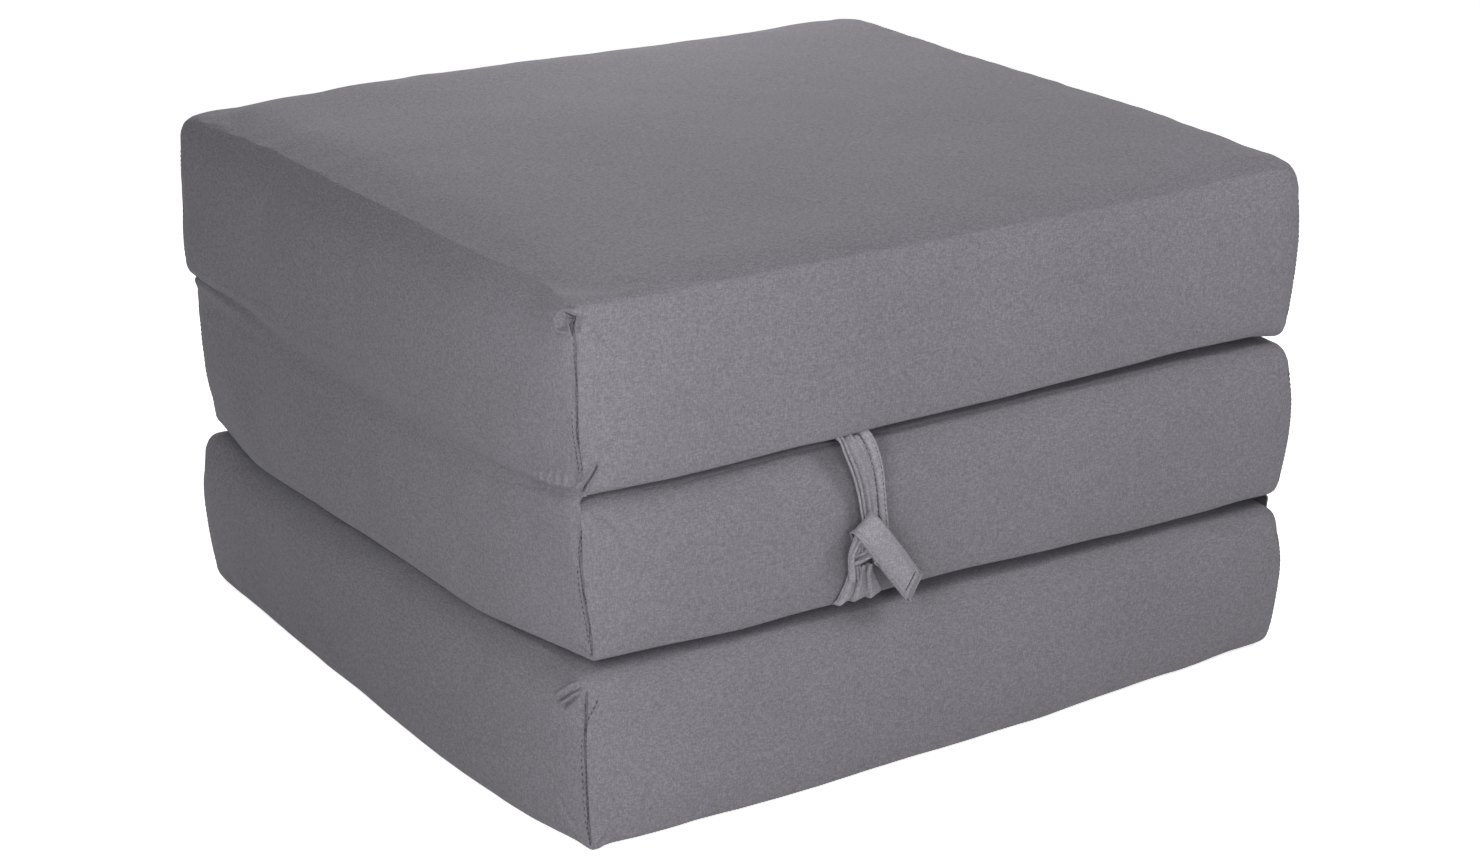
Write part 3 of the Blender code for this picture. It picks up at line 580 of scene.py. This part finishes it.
# The base panels.
# A flat rectangle of the same cloth closes each sleeve on the side that isn't slept on. Its edge is
# folded under into a hem of 10 mm, sewn down with one row of stitches.
hem_width, hem_rise, panel_cloth = 0.010, 0.0003, 0.0009
panel_off, panel_sag, thread_off = 0.0002, 0.0002, 0.0005
stitch_pitch, stitch_length, stitch_thick = 0.0042, 0.0030, 0.00040


def stitch_row(shape, path, pitch=stitch_pitch, thick=stitch_thick):
    """Adds a row of stitches along a path, each a short thread lying on the cloth."""
    for start, stop in zip(path, path[1:]):
        start, stop = Vector(start), Vector(stop)
        run = stop - start
        count = max(1, int(run.length / pitch))
        turn = run.to_track_quat("X", "Z").to_matrix().to_4x4()
        for place in range(count):
            middle = start + run * (place + 0.5) / count
            size = Matrix.Diagonal((stitch_length / 2, thick, thick, 1))
            bmesh.ops.create_icosphere(
                shape, subdivisions=1, radius=1.0, matrix=Matrix.Translation(middle) @ turn @ size)


def lay_on(name, piece, face, side):
    """Lays a flat piece on the face of a cover that looks up (1) or down (-1), at the height over it that
    the piece has over a level."""
    wall = BVHTree.FromObject(covers[name], bpy.context.evaluated_depsgraph_get())
    points = points_of(piece.data)
    for point in points:
        hit = wall.ray_cast(Vector((point[0], point[1], face + side * 0.03)), Vector((0, 0, -side)))[0]
        if hit:
            point[2] += hit.z - face
    move_points(piece.data, points)


thread_material, tree, shader = new_material("twisted_polyester_thread")
# Twisted polyester thread, a little darker and glossier than the cloth, with its twist showing as light
# and dark along it
twist = add(tree, "TexNoise", {0: add(tree, "TexCoord").outputs["Object"]}, Scale=1500.0, Detail=1.0)
thread_tones = add(tree, "ValToRGB", {0: twist.outputs["Fac"]})
thread_tones.color_ramp.elements[0].color = linear("615f66")
thread_tones.color_ramp.elements[1].color = linear("8d8b92")
tree.links.new(thread_tones.outputs[0], shader.inputs["Base Color"])
shader.inputs["Roughness"].default_value = 0.6

for name in cover_forms:
    flat_side = cover_forms[name][4]
    low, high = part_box(name + "_base_panel")
    face = high.z if flat_side > 0 else low.z
    shape = bmesh.new()
    bmesh.ops.create_grid(shape, x_segments=60, y_segments=56, size=1.0)
    half = (high - low) / 2
    for vert in shape.verts:
        along, across = (math.sin(c * math.pi / 2) * 0.7 + c * 0.3 for c in vert.co.xy)
        rim = min(half.x * (1 - abs(along)), half.y * (1 - abs(across)))
        hem = hem_rise * float(soft_step(np.float64(1 - abs(rim - hem_width / 2) / (hem_width / 2))))
        sag = panel_sag * math.sin(37 * along) * math.cos(29 * across)
        height = face + flat_side * (panel_off + hem + sag)
        vert.co = (half.x * along + (low.x + high.x) / 2, half.y * across, height)
    if flat_side < 0:
        bmesh.ops.reverse_faces(shape, faces=shape.faces)
    panel = object_from(shape, name + "_panel")
    lay_on(name, panel, face, flat_side)
    wall = panel.modifiers.new("Cloth", "SOLIDIFY")
    wall.thickness, wall.offset = panel_cloth, -1.0
    panel.data.materials.append(cover_cloth)
    threads = bmesh.new()
    x, y, z = half.x - hem_width, half.y - hem_width, face + flat_side * thread_off
    stitch_row(threads, ((-x, -y, z), (x, -y, z), (x, y, z), (-x, y, z), (-x, -y, z)))
    hem_thread = object_from(threads, name + "_panel_stitches")
    lay_on(name, hem_thread, face, flat_side)
    hem_thread.data.materials.append(thread_material)
    for piece in (panel, hem_thread):
        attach(piece, name + "_section")
    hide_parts(name + "_base_panel")


# The foam blocks.
# Each is one block of open-cell polyurethane foam, cut with a hot wire, so its faces are flat. Its edges
# are pressed round by the cover, which hides it.
foam_break = 0.020
foam_ease = Vector((0.014, 0.016, 0.009))  # how far it stays inside the CAD's block, clear of the sagging cover
foam_cuts = (12, 12, 3)

foam_material, tree, shader = new_material("open_cell_polyurethane_foam")
# Cream foam, quite matt, pitted all over by cells of about 0.8 mm, a little yellower in the pits
place = add(tree, "TexCoord").outputs["Object"]
cells = add(tree, "TexVoronoi", {0: place}, Scale=1200.0)
foam_tones = add(tree, "ValToRGB", {0: cells.outputs["Distance"]})
foam_tones.color_ramp.elements[0].color = linear("cdb88a")
foam_tones.color_ramp.elements[1].color = linear("efe4c4")
foam_tones.color_ramp.elements[1].position = 0.6
tree.links.new(foam_tones.outputs[0], shader.inputs["Base Color"])
pits = add(tree, "Bump", {"Height": cells.outputs["Distance"]}, Strength=0.6, Distance=0.0006)
tree.links.new(pits.outputs[0], shader.inputs["Normal"])
shader.inputs["Roughness"].default_value = 0.95

for name in cover_forms:
    low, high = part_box(name + "_foam_core")
    low, high = low + foam_ease, high - foam_ease
    shape = bmesh.new()
    bmesh.ops.create_cube(shape, size=1.0)
    bmesh.ops.scale(shape, vec=high - low, verts=shape.verts)
    bmesh.ops.translate(shape, vec=(low + high) / 2, verts=shape.verts)
    bmesh.ops.bevel(shape, geom=shape.edges[:], offset=foam_break, segments=4, affect="EDGES",
                    profile=0.5, material=-1)
    for axis, count in enumerate(foam_cuts):
        normal = Vector((axis == 0, axis == 1, axis == 2))
        for cut in range(1, count):
            spot = low + (high - low) * cut / count
            whole = shape.verts[:] + shape.edges[:] + shape.faces[:]
            bmesh.ops.bisect_plane(shape, geom=whole, plane_co=spot, plane_no=normal)
    block = object_from(shape, name + "_foam_block")
    block.data.set_sharp_from_angle(angle=math.radians(50))
    block.data.materials.append(foam_material)
    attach(block, name + "_section")
    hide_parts(name + "_foam_core")


# The two hinge cloths.
# Where two sections fold on each other, a band of the same cloth is sewn flat to the two end walls.
# It runs over the join like one wall with a shallow crease, and bends when a section is folded out.
hinge_half = 0.2860
lower_hinge_half = hinge_half - 0.012
hinge_above, hinge_below = 0.018, 0.032
hinge_over, hinge_under = 0.014, 0.016  # between these heights the cloth spans the gap of the join
hinge_cloth, hinge_off, hinge_hem, hinge_sunk = 0.0009, 0.0008, 0.006, 0.0003
hinge_crease = 0.0056
crease_broad, crease_narrowing = 0.0075, 0.0040
# Where the crease runs above or below the fold, from the tie side to the back
crease_places = (-0.290, -0.256, -0.228, -0.201, -0.056, 0.106, 0.207, 0.275)
crease_rises = (0.0010, -0.0037, -0.0075, -0.0095, -0.0104, -0.0088, 0.0003, 0.0066)
# Gathers of the cloth beside the near corner: place, lower and upper ends, height
gather_width = 0.0017
hinge_gathers = (
    (-0.2417, -0.010, 0.006, 0.0022), (-0.2512, -0.0085, 0.009, 0.0030), (-0.2610, -0.006, 0.012, 0.0034),
    (-0.2700, -0.003, 0.0145, 0.0030), (-0.2785, -0.001, 0.0155, 0.0022),
)


def bell(side, middle, width):
    return math.exp(-(((side - middle) / width) ** 2))


def hinge_band(name, side, fold, upper_name, lower_name, half):
    """The band over one join, laid on the end walls of the two covers."""
    graph = bpy.context.evaluated_depsgraph_get()
    walls = [BVHTree.FromObject(covers[which], graph) for which in (upper_name, lower_name)]

    def wall_at(across, height):
        found = []
        for wall in walls:
            hit = wall.ray_cast(Vector((side * 0.5, across, height)), Vector((-side, 0, 0)))[0]
            if hit:
                found.append(side * hit.x)
        return max(found)

    shape = bmesh.new()
    bmesh.ops.create_grid(shape, x_segments=380, y_segments=40, size=1.0)
    for vert in shape.verts:
        across = half * (vert.co.x - 0.25 * (1 - vert.co.x**2))  # closer together beside the near corner
        rise = vert.co.y * (hinge_above + hinge_below) / 2 + (hinge_above - hinge_below) / 2
        if -hinge_under < rise < hinge_over:
            high, low = wall_at(across, fold + hinge_over), wall_at(across, fold - hinge_under)
            way_up = (rise + hinge_under) / (hinge_over + hinge_under)
            reach = low + (high - low) * float(soft_step(np.float64(way_up)))
        else:
            reach = wall_at(across, fold + rise)
        rim = min(half - abs(across), hinge_above - rise, rise + hinge_below)
        reach += hinge_off * float(soft_step(np.float64(rim / hinge_hem))) - hinge_sunk
        crease = rise - float(np.interp(across, crease_places, crease_rises))
        ends = float(soft_step(np.float64((abs(across) - 0.08) / 0.20)))
        width = crease_broad - crease_narrowing * ends
        reach -= hinge_crease * (0.35 + 0.65 * ends) * math.exp(-((crease / width) ** 2))
        for place, lower, upper, height in hinge_gathers:
            along = (rise - lower) / (upper - lower)
            if 0 < along < 1:
                reach += height * math.sin(along * math.pi) * bell(across, place, gather_width)
        reach += 0.0003 * math.sin(41 * across + 90 * rise)
        vert.co = (side * reach, across, fold + rise)
    bmesh.ops.recalc_face_normals(shape, faces=shape.faces)
    shape.faces.ensure_lookup_table()
    if shape.faces[0].normal.x * side < 0:
        bmesh.ops.reverse_faces(shape, faces=shape.faces)
    band = object_from(shape, name)
    wall = band.modifiers.new("Cloth", "SOLIDIFY")
    wall.thickness, wall.offset = hinge_cloth, -1.0
    band.data.materials.append(cover_cloth)
    return band


upper_band = hinge_band("upper_hinge_cloth", -1, 2 * section_pitch, "top", "middle", hinge_half)
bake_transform(upper_band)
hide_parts("upper_hinge_strip")
lower_band = hinge_band("lower_hinge_cloth", 1, section_pitch, "middle", "bottom", lower_hinge_half)
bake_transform(lower_band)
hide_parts("lower_hinge_strip")


# The seams' thread.
# Down the upright corners the covers are sewn twice: the seam itself, and a row of stitches beside it
# that shows as a fine dotted line. The seam's thread is drawn dark, partly as painted shade for the shadow
# in its groove.
beside_seam, beside_thick = 0.0026, 0.0006
seam_pitch, beside_pitch = 0.0032, 0.0036
slit_shade_pitch, slit_shade_thick = 0.0017, 0.0005
beside_spots = {"bottom": 8, "middle": 8, "top": 5}  # on the top cover the row stops halfway up

seam_thread_and_groove_shade, tree, shader = new_material("dark_seam_thread_with_painted_groove_shade")
# The seam's own thread, sunk in the groove, so it reads as a thin dark line with a slight twist in it. Its
# dark colour is partly the thread's own and partly painted shade for the shadow in the groove.
twist = add(tree, "TexNoise", {0: add(tree, "TexCoord").outputs["Object"]}, Scale=1500.0, Detail=1.0)
seam_thread_and_shade_tones = add(tree, "ValToRGB", {0: twist.outputs["Fac"]})
seam_thread_and_shade_tones.color_ramp.elements[0].color = linear("343338")
seam_thread_and_shade_tones.color_ramp.elements[1].color = linear("58565c")
tree.links.new(seam_thread_and_shade_tones.outputs[0], shader.inputs["Base Color"])
shader.inputs["Roughness"].default_value = 0.7

for name in cover_forms:
    graph = bpy.context.evaluated_depsgraph_get()
    wall = BVHTree.FromObject(covers[name], graph)
    threads = bmesh.new()
    for x, y, seam in corner_seams(name):
        sunk = [wall.find_nearest(Vector(spot))[0] for spot in seam[:-1]]
        stitch_row(threads, sunk, pitch=seam_pitch)
        beside = []
        for spot in seam[:beside_spots[name]]:
            start = Vector((x * 0.5, spot[1] - y * beside_seam, spot[2]))
            beside.append(wall.ray_cast(start, Vector((-x, 0, 0)))[0])
        stitch_row(threads, beside, pitch=beside_pitch, thick=beside_thick)
    if name == "top":
        # Along the slit of the gathered corner a row of the dark thread is painted shade for the dark inside the
        # slit
        slit = [wall.find_nearest(Vector(spot))[0] for spot in gather_slit]
        stitch_row(threads, slit, pitch=slit_shade_pitch, thick=slit_shade_thick)
    rows = object_from(threads, name + "_corner_stitches_and_painted_shade")
    rows.data.materials.append(seam_thread_and_groove_shade)
    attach(rows, name + "_section")


# The ties.
# A strap of the same cloth, folded to three layers and hemmed, is sewn in under the top section on the
# long side. It is knotted to a wider strap from the bottom section, which the knot gathers into pleats.
strap_cloth = 0.0010

# The ties' cloth is the covers' cloth drawn lighter: painted light for the brighter light that the straps catch
tie_cloth_painted_lighter = woven_polyester("woven_polyester_tie_painted_lighter", "88868c", "97959b", "a8a6ac", thread=0.0009, bump=0.2)


def along_curve(stations, share):
    """The values at a share of the way along smooth stations."""
    count = len(stations) - 1
    place = min(max(share, 0.0), 1.0) * count
    index = min(int(place), count - 1)
    t = place - index
    four = [np.array(stations[min(max(index + k, 0), count)], float) for k in (-1, 0, 1, 2)]
    p, q, r, s = four
    return q + t / 2 * ((r - p) + t * ((2 * p - 5 * q + 4 * r - s) + t * (3 * (q - r) + s - p)))


def strap_spot(stations, profile, across, side, share, over=0.0):
    """A spot on a band of cloth that follows stations of (x, y, z, width). Its section is bent by
    profile(side, share), which gives shares of the width sideways, then metres outwards and ahead."""
    here = along_curve(stations, share)
    way = Vector((along_curve(stations, share + 0.01) - along_curve(stations, share - 0.01))[:3]).normalized()
    wide = (Vector(across) - way * Vector(across).dot(way)).normalized()
    sideways, lift, ahead = profile(side, share)
    return Vector(here[:3]) + wide * here[3] * sideways + way.cross(wide) * (lift + over) + way * ahead


def strap(name, stations, profile, cells, cloth=strap_cloth, across=(1, 0, 0)):
    """A band of cloth with the section of a profile along stations."""
    shape = bmesh.new()
    bmesh.ops.create_grid(shape, x_segments=cells[0], y_segments=cells[1], size=1.0)
    for vert in shape.verts:
        vert.co = strap_spot(stations, profile, across, vert.co.x, (vert.co.y + 1) / 2)
    bmesh.ops.recalc_face_normals(shape, faces=shape.faces)
    made = object_from(shape, name)
    wall = made.modifiers.new("Cloth", "SOLIDIFY")
    wall.thickness, wall.offset = cloth, 0.0
    made.data.materials.append(tie_cloth_painted_lighter)
    return made


def hemmed(side, share):
    """The upper strap: a fold with two edges on its left, a ridge, and a broad hem on its right."""
    ridge = -0.12 - 0.30 * share if share < 0.45 else -0.255
    lift = 0.0032 * bell(side, -0.96, 0.07) + 0.0036 * bell(side, -0.72, 0.05)
    if side < ridge:
        lift += 0.0036 * math.exp((side - ridge) / 0.12)
    else:
        lift += 0.0036 * bell(side, ridge, 0.04)
    lift += 0.0028 * float(soft_step(np.float64((side - 0.52) / 0.04)))
    lift += 0.0008 * bell(side, 0.94, 0.05) + 0.0003 * math.sin(9 * share + 5 * side)
    return side / 2, lift, 0.0


strap_stations = (
    (-0.0945, -0.2890, 0.2535, 0.0262), (-0.0940, -0.2965, 0.2530, 0.0262), (-0.0925, -0.3000, 0.2480, 0.0260),
    (-0.0890, -0.3010, 0.2400, 0.0250), (-0.0850, -0.3015, 0.2270, 0.0240), (-0.0825, -0.3020, 0.2130, 0.0225),
    (-0.0812, -0.3030, 0.1990, 0.0212), (-0.0810, -0.3060, 0.1860, 0.0190), (-0.0830, -0.3085, 0.1740, 0.0160),
)
upper_strap = strap("upper_tie_strap", strap_stations, hemmed, (110, 90))


tail_layers, layer_gap, layer_turn = 3, 0.0028, 0.06


def layered(side, share):
    """The free end: the strap folded in three, and cut askew, so that each layer shows past the one above."""
    layer = (side + 1) / 2 * tail_layers
    index = min(int(layer), tail_layers - 1)
    part = layer - index
    way = part if index % 2 == 0 else 1 - part
    edge = min(part, 1 - part)
    turn = math.cos(edge / layer_turn * math.pi / 2) if edge < layer_turn else 0.0
    ends = 0.5 if part > 0.5 else -0.5
    lift = 0.0034 - layer_gap * (index + (turn * ends)) + 0.0003 * math.sin(8 * share + 2.1 * index)
    lift += (0.0010 if index == 0 else 0.0) * (bell(way, 0.12, 0.03) + bell(way, 0.90, 0.03))
    lift += (0.0008 + 0.0024 * index) * bell(share, 0.992, 0.011)  # each layer's cut end is rolled
    fanned = index * share**6
    ahead = 0.0060 * (1 - 2 * way) * (share - 0.25) + 0.0034 * fanned
    return (way - 0.5) * (1 - 0.02 * index) + 0.05 * fanned, lift, ahead


tail_stations = (
    (-0.0865, -0.3050, 0.1800, 0.0170), (-0.0905, -0.3075, 0.1890, 0.0195), (-0.0925, -0.3130, 0.1925, 0.0205),
    (-0.0895, -0.3155, 0.1880, 0.0212), (-0.0810, -0.3145, 0.1770, 0.0214), (-0.0712, -0.3125, 0.1648, 0.0212),
    (-0.0615, -0.3100, 0.1525, 0.0210), (-0.0522, -0.3075, 0.1405, 0.0208),
)
tail_across = (0.78, 0, 0.62)
tail = strap("upper_tie_tail", tail_stations, layered, (120, 130), cloth=0.0008, across=tail_across)

# The hems of the strap and the ends of the three layers are stitched with the dark thread. The rows across
# the layers' ends are partly overlock stitching and partly painted shade for the dark gaps between the layers.
threads = bmesh.new()
for side, start, stop in ((-0.84, 0.10, 0.80), (0.47, 0.10, 0.85), (0.88, 0.10, 0.85)):
    stitch_row(threads, [strap_spot(strap_stations, hemmed, (1, 0, 0), side, share, 0.0005)
                         for share in np.linspace(start, stop, 12)], pitch=0.0030, thick=0.00035)
for layer, share in ((0, 0.955), (1, 0.974), (2, 0.974)):
    sides = [(layer + part) * 2 / tail_layers - 1 for part in (0.06, 0.3, 0.5, 0.7, 0.94)]
    spots = [strap_spot(tail_stations, layered, tail_across, side, share, 0.0005) for side in sides]
    stitch_row(threads, spots, pitch=0.0022, thick=0.0005)
tie_stitches_and_gap_shade = object_from(threads, "upper_tie_stitches_and_painted_gap_shade")
tie_stitches_and_gap_shade.data.materials.append(seam_thread_and_groove_shade)
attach(tie_stitches_and_gap_shade, "upper_tie")


def crumpled(side, share):
    """Cloth squeezed in the knot: narrow folds run along it."""
    lift = 0.0019 * math.sin(10.5 * side + 2.5 * share) + 0.0005 * math.sin(23 * side - 4 * share)
    return side / 2, lift, 0.0


knot_turn = strap("upper_tie_knot", (
    (-0.0760, -0.3010, 0.1760, 0.012), (-0.0800, -0.3080, 0.1800, 0.014), (-0.0880, -0.3125, 0.1775, 0.015),
    (-0.0955, -0.3100, 0.1735, 0.014), (-0.0975, -0.3050, 0.1690, 0.013), (-0.0930, -0.3010, 0.1650, 0.012),
    (-0.0850, -0.3000, 0.1640, 0.012), (-0.0780, -0.3030, 0.1670, 0.012), (-0.0750, -0.3070, 0.1700, 0.012),
    (-0.0790, -0.3120, 0.1700, 0.012), (-0.0860, -0.3140, 0.1680, 0.012),
), crumpled, (50, 90), across=(0.25, 0.1, 1))

loop = strap("upper_tie_loop", (
    (-0.0925, -0.3090, 0.1885, 0.0100), (-0.0960, -0.3115, 0.1845, 0.0110), (-0.0985, -0.3110, 0.1780, 0.0115),
    (-0.0990, -0.3090, 0.1710, 0.0110), (-0.0975, -0.3065, 0.1645, 0.0105), (-0.0955, -0.3050, 0.1580, 0.0110),
    (-0.0940, -0.3035, 0.1520, 0.0120),
), crumpled, (60, 60), across=(1, 0.3, 0))


pleat_wide, pleat_crest = 0.70, 0.90
pleat_depth, pleat_deepening = 0.0042, 0.0010


def pleated(side, share):
    """The gathered strap: three pleats, each folded over the next, that open out downwards."""
    place = (side + 1.1 + 0.10 * share) / pleat_wide
    part = place - math.floor(place)
    rise = part if part < pleat_crest else (1 - part) / (1 - pleat_crest) * pleat_crest
    depth = (pleat_depth + pleat_deepening * share) * float(soft_step(np.float64((share - 0.10) / 0.25)))
    return side / 2, depth * (rise - 0.35) + 0.0003 * math.sin(11 * share + 4 * side), 0.0


fan = strap("lower_tie_fan", (
    (-0.0885, -0.2895, 0.1318, 0.0390), (-0.0885, -0.2950, 0.1322, 0.0385), (-0.0885, -0.2990, 0.1350, 0.0370),
    (-0.0888, -0.3006, 0.1395, 0.0330), (-0.0893, -0.3018, 0.1460, 0.0265), (-0.0900, -0.3032, 0.1535, 0.0205),
    (-0.0890, -0.3052, 0.1625, 0.0165),
), pleated, (90, 60), across=(-1, 0, 0))

for piece, body, size in (
    (upper_strap, "upper_tie", (0.042, 0.088)), (tail, "upper_tie", (0.088, 0.070)),
    (knot_turn, "upper_tie", (0.028, 0.108)), (loop, "upper_tie", (0.024, 0.066)),
    (fan, "lower_tie", (0.038, 0.041)),
):
    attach(piece, body)
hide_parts("upper_tie")
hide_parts("lower_tie")


# The zips.
# A nylon zip in the back of each cover: two woven tapes with their moulded teeth, and a slider and a
# pull of die-cast zinc, painted grey.
nylon, tree, shader = new_material("woven_nylon_zip_tape")
# Dark nylon: a close rib across the tape, 0.6 mm apart, and a slight sheen on the teeth
place = add(tree, "TexCoord").outputs["Object"]
ribs = add(tree, "TexWave", {0: place}, Scale=520.0, Distortion=0.6, Detail=1.0, bands_direction="X")
nylon_tones = add(tree, "ValToRGB", {0: ribs.outputs["Fac"]})
nylon_tones.color_ramp.elements[0].color = linear("3f3e42")
nylon_tones.color_ramp.elements[1].color = linear("57555b")
tree.links.new(nylon_tones.outputs[0], shader.inputs["Base Color"])
ribbed = add(tree, "Bump", {"Height": ribs.outputs["Fac"]}, Strength=0.35, Distance=0.0002)
tree.links.new(ribbed.outputs[0], shader.inputs["Normal"])
shader.inputs["Roughness"].default_value = 0.5

zinc, tree, shader = new_material("die_cast_zinc")
# Zinc with a thin grey lacquer: soft metallic shine, faintly grained, worn brighter in places
place = add(tree, "TexCoord").outputs["Object"]
grain = add(tree, "TexNoise", {0: place}, Scale=900.0, Detail=4.0, Roughness=0.7)
zinc_tones = add(tree, "ValToRGB", {0: grain.outputs["Fac"]})
zinc_tones.color_ramp.elements[0].color = linear("77767b")
zinc_tones.color_ramp.elements[1].color = linear("a3a2a6")
tree.links.new(zinc_tones.outputs[0], shader.inputs["Base Color"])
shine = add(tree, "MapRange", {0: grain.outputs["Fac"]}, To_Min=0.30, To_Max=0.48)
tree.links.new(shine.outputs[0], shader.inputs["Roughness"])
shader.inputs["Metallic"].default_value = 1.0

for name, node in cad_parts.items():
    finish = zinc if name.endswith(("slider", "pull")) else nylon if "_zip_" in name else None
    if finish:
        for slot in node.material_slots:
            slot.material = finish


# The floor and the light.
# A white floor under soft studio light: lamps close in front, which fade down the tie side, one at the
# left, one low over the far side, and an even sky.
ground, tree, shader = new_material("white_studio_floor")
rays = add(tree, "LightPath").outputs
floor_grain = add(tree, "TexNoise", {0: add(tree, "TexCoord").outputs["Object"]}, Scale=3.0, Detail=2.0)
floor_tones = add(tree, "ValToRGB", {0: floor_grain.outputs["Fac"]})
floor_tones.color_ramp.elements[0].color = linear("f4f4f4")
floor_tones.color_ramp.elements[1].color = linear("f8f8f8")
tree.links.new(floor_tones.outputs[0], shader.inputs["Base Color"])
shader.inputs["Roughness"].default_value = 0.9
shader.inputs["Specular IOR Level"].default_value = 0.0
shader.inputs["Emission Color"].default_value = (1, 1, 1, 1)
seen = add(tree, "Math", {0: rays["Is Camera Ray"], 1: rays["Is Glossy Ray"]}, operation="MAXIMUM")
seen = add(tree, "Math", {0: seen.outputs[0], 1: rays["Is Transmission Ray"]}, operation="MAXIMUM")
lift = add(tree, "MapRange", {0: seen.outputs[0]}, To_Max=0.80)
tree.links.new(lift.outputs[0], shader.inputs["Emission Strength"])
shape = bmesh.new()
bmesh.ops.create_grid(shape, x_segments=8, y_segments=8, size=20.0)
bmesh.ops.translate(shape, vec=(0, 0, -0.0004), verts=shape.verts)
floor = object_from(shape, "studio_floor")
floor.data.materials.append(ground)
floor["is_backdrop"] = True


def lamp(name, place, aim, size, power):
    data = bpy.data.lights.new(name, "AREA")
    data.shape = "DISK"
    data.size = size
    data.energy = power
    made = bpy.data.objects.new(name, data)
    bpy.context.scene.collection.objects.link(made)
    made.location = place
    made.rotation_euler = (Vector(aim) - Vector(place)).to_track_quat("-Z", "Y").to_euler()


lamp("right_lamp", (0.50, -0.95, 0.95), (0.12, -0.29, 0.32), 0.4, 4.4)
lamp("corner_lamp", (-0.75, -0.75, 0.55), (-0.31, -0.29, 0.25), 0.3, 2.8)
lamp("front_lamp", (-0.75, -2.6, 1.0), (-0.3, -0.29, 0.22), 0.8, 11)
lamp("side_lamp", (-2.6, -0.6, 1.2), (-0.3, 0, 0.2), 1.2, 6)
lamp("back_lamp", (0.30, 0.82, 0.90), (0.15, 0.15, 0.38), 0.8, 6)

world = bpy.data.worlds.new("studio")
bpy.context.scene.world = world
world.use_nodes = True
tree = world.node_tree
sky = tree.nodes["Background"]
sky.inputs["Color"].default_value = (1, 1, 1, 1)
rays = add(tree, "LightPath").outputs
direct = add(tree, "Math", {0: rays["Is Camera Ray"], 1: rays["Is Glossy Ray"]}, operation="MAXIMUM")
direct = add(tree, "Math", {0: direct.outputs[0], 1: rays["Is Transmission Ray"]}, operation="MAXIMUM")
level = add(tree, "MapRange", {0: direct.outputs[0]}, To_Min=0.2, To_Max=1.0)
tree.links.new(level.outputs[0], sky.inputs["Strength"])


# The camera, at the photograph's angle.
camera = bpy.data.objects.new("camera", bpy.data.cameras.new("camera"))
bpy.context.scene.collection.objects.link(camera)
azimuth, elevation = math.radians(-33.153), math.radians(19.673)
backwards = Vector((math.sin(azimuth) * math.cos(elevation), -math.cos(azimuth) * math.cos(elevation),
                    math.sin(elevation)))
camera.location = (-1.4531, -2.2362, 1.1024)
camera.rotation_euler = (-backwards).to_track_quat("-Z", "Y").to_euler()
camera.data.lens = 88.92
camera.data.clip_start, camera.data.clip_end = 0.1, 60
bpy.context.scene.camera = camera
bpy.context.scene.view_settings.view_transform = "Standard"

low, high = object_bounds()
